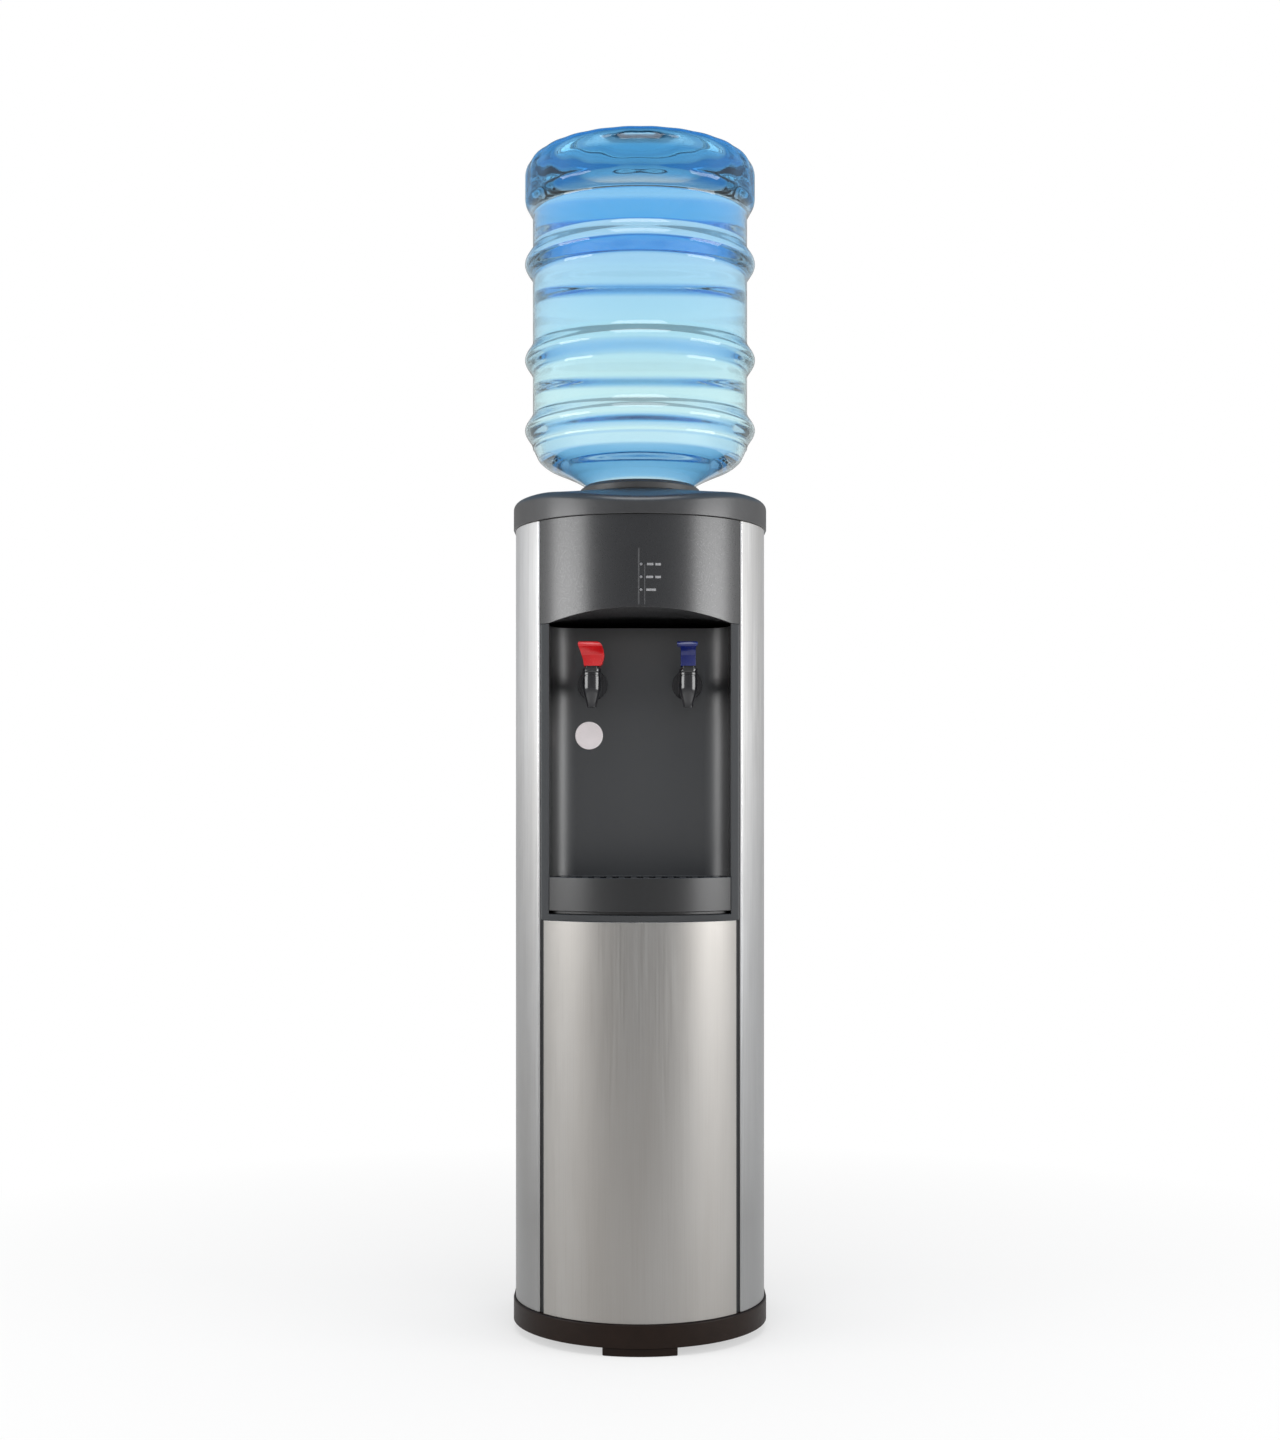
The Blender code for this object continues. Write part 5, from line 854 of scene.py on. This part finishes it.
def flute(obj, top):
    """Shallow upright flutes round the bottle's base."""
    for vertex in obj.data.vertices:
        x, y, z = vertex.co
        radius = math.hypot(x, y)
        below = top - FLUTE_LENGTH
        if z < below or radius <= FLUTE_START:
            continue
        wave = 0.5 + 0.5 * math.cos(FLUTES * math.atan2(y, x))
        depth = FLUTE_DEPTH * wave * min(1, (z - below) / FLUTE_FADE)
        vertex.co.x -= x / radius * depth
        vertex.co.y -= y / radius * depth


def bottle():
    """The thin shell and the water that fills it."""
    low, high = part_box("bottle")
    line = bottle_line(low.z, high.z)
    inner = offset_line(line, BOTTLE_WALL)
    outline = [*line, (inner[-1][0], low.z), *reversed(inner[:-1])]
    shell = turned("bottle_shell", outline, steps=160, sharp=None)
    fitted(shell, BOTTLE_BLUE, "bottle", ["bottle"])
    fill = [point for point in offset_line(line, BOTTLE_WALL + SLACK) if point[1] > low.z + 0.004]
    water = turned("bottle_water", [*fill, (0, fill[-1][1])], steps=160, sharp=None)
    for obj in (shell, water):
        flute(obj, high.z)
    fitted(water, WATER, "bottle")


# Drip tray


def tray_plan(inset, front_inset, rounder=0):
    """The tray's plan, moved inwards at its sides and back and at its front, with wider rear corners."""
    half = ALCOVE_HALF - SLACK - inset
    radius = BODY_RADIUS - front_inset
    edge = -math.pi / 2 + math.asin(half / radius)
    corner = ALCOVE_CORNER - SLACK - inset + rounder
    bend = (half - corner, -ALCOVE_BACK - ALCOVE_CORNER - rounder)
    right = arc(bend, corner, 0, math.pi / 2, 2 * CORNER_STEPS)
    return [*arc(MIDDLE, radius, -math.pi - edge, edge, ROUND_STEPS), *right, *mirrored(right)]


TRAY_WALL = 0.0025


def tray():
    """The pan, with a ledge for the grille inside and a step under its front."""
    low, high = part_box("drip_tray")
    front_low, lip = low.z + 0.0037, high.z - 0.004 - SLACK
    ledge, setback = 0.003, 0.007
    outer = tray_plan(0, 0)
    foot = tray_plan(TRAY_WALL, setback)
    basin = tray_plan(TRAY_WALL + ledge, setback + TRAY_WALL)
    rebate = tray_plan(TRAY_WALL, TRAY_WALL)
    steps = [
        (basin, low.z + TRAY_WALL), (basin, lip), (rebate, lip), (rebate, high.z), (outer, high.z),
        (outer, front_low), (foot, front_low), (foot, low.z),
    ]  # fmt: skip
    pan = lofted("tray_pan", [[(x, y, z) for x, y in plan] for plan, z in steps])
    fitted(rounded(pan, 0.0007, 3), TRAY_DARK, "tray", ["drip_tray"])


def grille():
    """The plate over the tray, with round-ended slots from front to back."""
    low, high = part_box("drip_grille")
    inset = TRAY_WALL + SLACK
    plate = prism("grille_plate", tray_plan(inset, inset, rounder=0.0058), low.z, high.z)
    half_width, pitch, border = 0.0035, 0.014, 0.009
    slots = []
    for step in range(-6, 7):
        x = step * pitch
        reach = abs(x) + half_width
        front = -math.sqrt((BODY_RADIUS - border) ** 2 - reach**2)
        back = ceiling_back(reach + border - WALL) - border
        ends = []
        for y, start in ((front + half_width, math.pi), (back - half_width, 0)):
            ends += arc((x, y), half_width, start, start + math.pi, 10)
        slots.append(prism("slot", ends, low.z - OVERRUN, high.z + OVERRUN))
    carved(plate, *slots)
    fitted(rounded(plate, 0.0004, 2), BLACK, "grille", ["drip_grille"])


# Taps


def tap_body(name, x):
    """The spout with its shank and the flange against the alcove's wall."""
    profile = [
        (0.0108, 0.011), (0.0108, 0.0088), (0.0100, 0.0084), (0.0100, 0.0072), (0.0108, 0.0068),
        (0.0108, -0.005), (0.0105, -0.0085), (0.0098, -0.0120), (0.0086, -0.0160), (0.0072, -0.0200),
        (0.0062, -0.0235), (0.0057, -0.0265), (0.0055, -0.028), (0.0034, -0.028), (0.0032, -0.0085),
        (0.0076, -0.0085), (0.0076, 0.011),
    ]  # fmt: skip
    body = turned(f"{name}_spout", profile, (x, -TAP_AXIS, TAP_HEIGHT), 72, closed=True)
    start = 0.0092 - TAP_AXIS
    wall = -ALCOVE_BACK - SLACK - start
    neck, shank, flange, thick, end = 0.0078, 0.008, 0.0175, 0.003, -0.033 - start
    profile = [
        (0, 0), (neck, 0), (neck, 0.004), (shank, 0.006), (shank, wall - thick - 0.002),
        (0.0095, wall - thick), (flange - 0.0003, wall - thick), (flange, wall - 0.0022), (flange, wall),
        (shank, wall), (shank, end), (0, end),
    ]  # fmt: skip
    combined(body, "UNION", [turned("shank", profile, (x, start, TAP_HEIGHT), 72, "Y")])
    fitted(rounded(body, 0.0005, 2), BLACK, "cabinet", [f"{name}_tap_body"])


def tap_bonnet(name, x):
    """The cap on the tap's body, with a plug into it and the tower that holds the lever's pin."""
    rim, plug, bore = 0.0108, 0.0073, 0.0023
    top, seat, bottom = 0.0157, 0.0113, 0.0053
    profile = [(rim, top), (rim, seat), (plug, seat), (plug, bottom), (bore, bottom), (bore, top)]
    bonnet = turned(f"{name}_cap_ring", profile, (x, -TAP_AXIS, TAP_HEIGHT), 72, closed=True)
    y, half_width, half_depth, tower_top = -TAP_AXIS - 0.0103, 0.0062, 0.0036, 0.7786
    corner = (x - half_width, y - half_depth, TAP_HEIGHT + 0.0135)
    tower = rounded(block("tower", corner, (x + half_width, y + half_depth, tower_top)), 0.0008)
    combined(bonnet, "UNION", [baked(tower)])
    fitted(rounded(bonnet, 0.0004, 2), BLACK, "cabinet", [f"{name}_tap_bonnet"])


# The levers' outlines, as shares of their width or length and of their height
COLD_FRONT = (
    (0.40, 0.0), (0.40, 0.68), (0.42, 0.76), (0.5, 0.81), (0.5, 0.92), (0.46, 0.95), (-0.62, 0.95),
    (-0.66, 0.92), (-0.65, 0.81), (-0.48, 0.76), (-0.44, 0.68), (-0.43, 0.0),
)  # fmt: skip
HOT_FRONT = (
    (0.46, 0.0), (0.58, 0.06), (0.68, 0.25), (0.72, 0.43), (0.69, 0.62), (0.60, 0.80), (0.48, 0.91),
    (0.36, 0.95), (-0.62, 0.95), (-0.72, 0.93), (-0.75, 0.87), (-0.72, 0.78), (-0.58, 0.50), (-0.46, 0.23),
    (-0.42, 0.0),
)  # fmt: skip
LEVER_SIDE = (
    (0.23, 0.0), (0.23, 0.50), (0.1, 0.68), (-0.33, 0.82), (-0.70, 0.945), (-0.90, 0.95), (-0.95, 0.925),
    (-1.0, 0.83), (-0.97, 0.76), (-0.75, 0.62), (-0.62, 0.43), (-0.6, 0.0),
)  # fmt: skip


def lever(name, x, outline, look):
    """The lever from its outlines in front and side view, with the slot for its tower and two bars in it."""
    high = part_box(f"{name}_tap_lever")[1]
    width, height, reach, ample = 0.020, 0.028, 0.030, 0.030
    bottom = high.z - height
    front = [(x + a * width, bottom + b * height) for a, b in outline]
    side = [(a * reach - TAP_AXIS, bottom + b * height) for a, b in LEVER_SIDE]
    body = prism(f"{name}_handle", front, -0.14, -0.05, "XZ")
    combined(body, "INTERSECT", [prism("side", side, x - ample, x + ample, "YZ")])
    baked(rounded(body, 0.0011, 4, 25))
    half_slot, slot_front, slot_back, slot_low, slot_top = 0.0065, -0.1139, -0.08, 0.76, bottom + 0.0143
    cutters = [block("slot", (x - half_slot, slot_front, slot_low), (x + half_slot, slot_back, slot_top))]
    if name == "hot":
        catch_low, catch_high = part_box("hot_tap_catch")
        travel, above = 0.003, 0.02
        start = (catch_low.x - SLACK, catch_low.y - SLACK - travel, catch_low.z - SLACK)
        end = (catch_high.x + SLACK, catch_high.y + SLACK, catch_high.z + above)
        cutters.append(block("pocket", start, end))
    carved(body, *cutters)
    bar_low, bar_high = (-0.0995, 0.7725), (-0.0965, 0.7755)
    sides = ((x - 0.008, x - 0.0026), (x + 0.0026, x + 0.008))
    combined(body, "UNION", [block("bar", (start, *bar_low), (end, *bar_high)) for start, end in sides])
    body.data.shade_smooth()
    body.data.set_sharp_from_angle(angle=math.radians(40))
    fitted(body, look, f"{name}_lever", [f"{name}_tap_lever"])


def child_lock():
    """The catch on the hot lever, with three grooves across it for the thumb."""
    low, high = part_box("hot_tap_catch")
    catch = baked(rounded(block("child_lock", low, high), 0.0009, 3))
    middle = (low.y + high.y) / 2
    half, depth, past, pitch = 0.00035, 0.0004, 0.001, 0.0018
    grooves = [
        block("groove", (low.x - past, y - half, high.z - depth), (high.x + past, y + half, high.z + past))
        for y in (middle - pitch, middle, middle + pitch)
    ]
    carved(catch, *grooves)
    fitted(catch, RED, "hot_catch", ["hot_tap_catch"])


# Lights and printing on the fascia


def on_front(name, x0, x1, z0, z1, steps=4):
    """A thin patch that lies on the round front between two heights."""
    outer, inner = BODY_RADIUS + 0.00012, BODY_RADIUS - 0.0002
    start, end = (front_bearing(x) for x in (x0, x1))
    outline = [*arc(MIDDLE, outer, start, end, steps), *arc(MIDDLE, inner, end, start, steps)]
    return prism(name, outline, z0, z1)


# Where each light's words start and end, along X
DASHES = {
    "heating": ((0.0078, 0.0148), (0.0170, 0.0232)),
    "cooling": ((0.0068, 0.0146), (0.0170, 0.0232)),
    "power": ((0.0069, 0.0178),),
}


def lights_and_marks():
    """The three lenses in their rims, a dash for each word beside them, and two printed lines."""
    lens, back = 0.0017, -0.009
    lens_profile = [(0, 0), (0.0009, -0.00008), (0.0014, -0.0002), (lens, -0.0005), (lens, back), (0, back)]
    rim_profile = [(0.0019, 0.0002), (0.0019, -0.0002), (0.0027, -0.0002), (0.0026, 0.0001)]
    dash_half = 0.0013
    for name, dashes in DASHES.items():
        low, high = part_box(f"indicator_{name}")
        x, z = (low.x + high.x) / 2, (low.z + high.z) / 2
        light = turned(f"lens_{name}", lens_profile, (x, low.y, z), 40, "-Y", sharp=60)
        fitted(light, LENS, "cabinet", [f"indicator_{name}"])
        rim = turned(f"lens_rim_{name}", rim_profile, (x, -BODY_RADIUS, z), 40, "-Y", closed=True)
        fitted(rim, BLACK)
        for k, (start, end) in enumerate(dashes):
            mark = on_front(f"dash_{name}_{k}", start, end, z - dash_half, z + dash_half)
            fitted(mark, PRINT)
    bottom = 0.836
    for k, (x, half_width, top) in enumerate(((-0.0014, 0.0008, 0.8985), (0.0052, 0.0005, 0.8800))):
        line = on_front(f"printed_line_{k}", x - half_width, x + half_width, bottom, top, steps=1)
        fitted(line, PRINT_FAINT)


# Back of the cabinet


def tube(name, points, radius, stands_for=()):
    """A round enamelled tube or wire along the points."""
    curve = bpy.data.curves.new(name, "CURVE")
    curve.dimensions = "3D"
    curve.bevel_depth = radius
    curve.bevel_resolution = 4
    curve.use_fill_caps = True
    spline = curve.splines.new("POLY")
    spline.points.add(len(points) - 1)
    for point, place in zip(spline.points, points):
        point.co = (*place, 1)
    return fitted(link(name, curve), ENAMEL, "cabinet", stands_for)


def condenser():
    """The coil in level runs up the back, from the compressor's lead to its way in above, and its wires."""
    y, run, pitch, rows, foot = 0.145, 0.051, 0.044, 16, 0.130
    bend = pitch / 2
    top = foot + (rows - 1) * pitch
    x = -0.066
    lead = [
        (-0.034, 0.040, 0.2112), (-0.034, 0.040, 0.235), (x, 0.085, 0.214), (x, 0.108, 0.130),
        (x, 0.130, 0.108), (x, y, 0.1153), (-run, y, foot),
    ]  # fmt: skip
    route = smooth_line(lead, 6)[:-1]
    for row in range(rows):
        side = 1 if row % 2 == 0 else -1
        z = foot + row * pitch
        route.append((-side * run, y, z))
        if row < rows - 1:
            half_turn = arc(MIDDLE, bend, -math.pi / 2, math.pi / 2, 16)
            route += [(side * (run + a), y, z + bend + b) for a, b in half_turn]
    tail = [(-run, y, top), (x, y, top + 0.0147), (x, 0.130, top + 0.022), (x, 0.119, top + 0.022)]
    route += smooth_line(tail, 6)
    shortest = 0.0003
    kept = [route[0]]
    for point in route:
        if math.dist(point, kept[-1]) > shortest:
            kept.append(point)
    tube("condenser_tube", kept, 0.0024, ["condenser_coil"])

    count, spacing, past, off = 22, 0.0064, 0.012, 0.003
    for side, depth in (("outer", y + off), ("inner", y - off)):
        for k in range(count):
            across = (k - (count - 1) / 2) * spacing
            tube(f"wire_{side}_{k:02d}", [(across, depth, foot - past), (across, depth, top + past)], 0.0007)


def screw(name, place):
    """A domed screw head that faces back, with a cross in it."""
    radius, dome, half_width, depth = 0.0036, 0.0022, 0.0005, 0.0012
    head = [(0, dome), (radius * 0.5, 0.0020), (radius * 0.85, 0.0014), (radius, 0.0006), (radius, 0), (0, 0)]
    obj = turned(name, head, place, 32, "Y", sharp=50)
    x, y, z = place
    top, arm = y + dome, radius * 0.55
    cuts = [
        block("arm", (x - a, top - depth, z - b), (x + a, top + depth, z + b))
        for a, b in ((arm, half_width), (half_width, arm))
    ]
    carved(obj, *cuts)
    fitted(obj, STAINLESS)


def screws():
    """Two columns through the rear panel, and three in each of the condenser's brackets."""
    for row, z in enumerate((0.925, 0.62, 0.33, 0.048)):
        for column, x in enumerate((-0.0965, 0.0965)):
            screw(f"panel_screw_{2 * row + column}", (x, BODY_REAR, z))
    for name, x in (("left", -0.0835), ("right", 0.0835)):
        for k, z in enumerate((0.128, 0.46, 0.79)):
            screw(f"bracket_screw_{name}_{k}", (x, BODY_REAR + 0.0015, z))


def gland():
    """The ring through which a cord would enter."""
    low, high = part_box("cord_gland")
    profile = [
        (0.0038, 0.0118), (0.0062, 0.0118), (0.0070, 0.0110), (0.0077, 0.0040), (0.0104, 0.0035),
        (0.0110, 0.0028), (0.0110, 0.0003), (0.0077, 0.0003), (0.0077, -0.012), (0.0038, -0.012),
    ]  # fmt: skip
    place = ((low.x + high.x) / 2, BODY_REAR, (low.z + high.z) / 2)
    ring = turned("gland_body", profile, place, 60, "Y", closed=True)
    fitted(ring, BLACK, "cabinet", ["cord_gland"])


def carried_over():
    """Gives every node that still shows the look of its own material slot."""
    looks = {
        "brushed_steel": FRONT_STEEL, "side_steel": SIDE_STEEL, "grey_plastic": CAP_GREY,
        "dark_plastic": GLOSS_DARK, "black_plastic": BLACK, "base_plastic": BASE_BROWN, "red_plastic": RED,
        "blue_plastic": BLUE, "white_plastic": WHITE, "bottle_plastic": BOTTLE_BLUE, "stainless": STAINLESS,
        "galvanised": GALVANISED, "copper": COPPER, "black_enamel": ENAMEL, "rubber": RUBBER,
        "silicone": SILICONE, "foam": FOAM, "circuit_green": BOARD_GREEN,
    }  # fmt: skip
    for row in frame["record"]["subparts"]:
        node = frame["nodes"][row["node"]]
        if not node.hide_render:
            node.data.materials.clear()
            node.data.materials.append(looks[row["material_slot"]])


camera()
lamps()
studio()
floor()
plinth()
feet()
steel_sheets()
door_trims()
alcove()
fascia()
cap()
collar()
bottle()
tray()
grille()
for name, x, outline, look, slot in (
    ("hot", -TAP_SIDE, HOT_FRONT, RED, "red_plastic"),
    ("cold", TAP_SIDE, COLD_FRONT, BLUE, "blue_plastic"),
):
    tap_body(name, x)
    tap_bonnet(name, x)
    lever(name, x, outline, look)
child_lock()
lights_and_marks()
condenser()
screws()
gland()
carried_over()
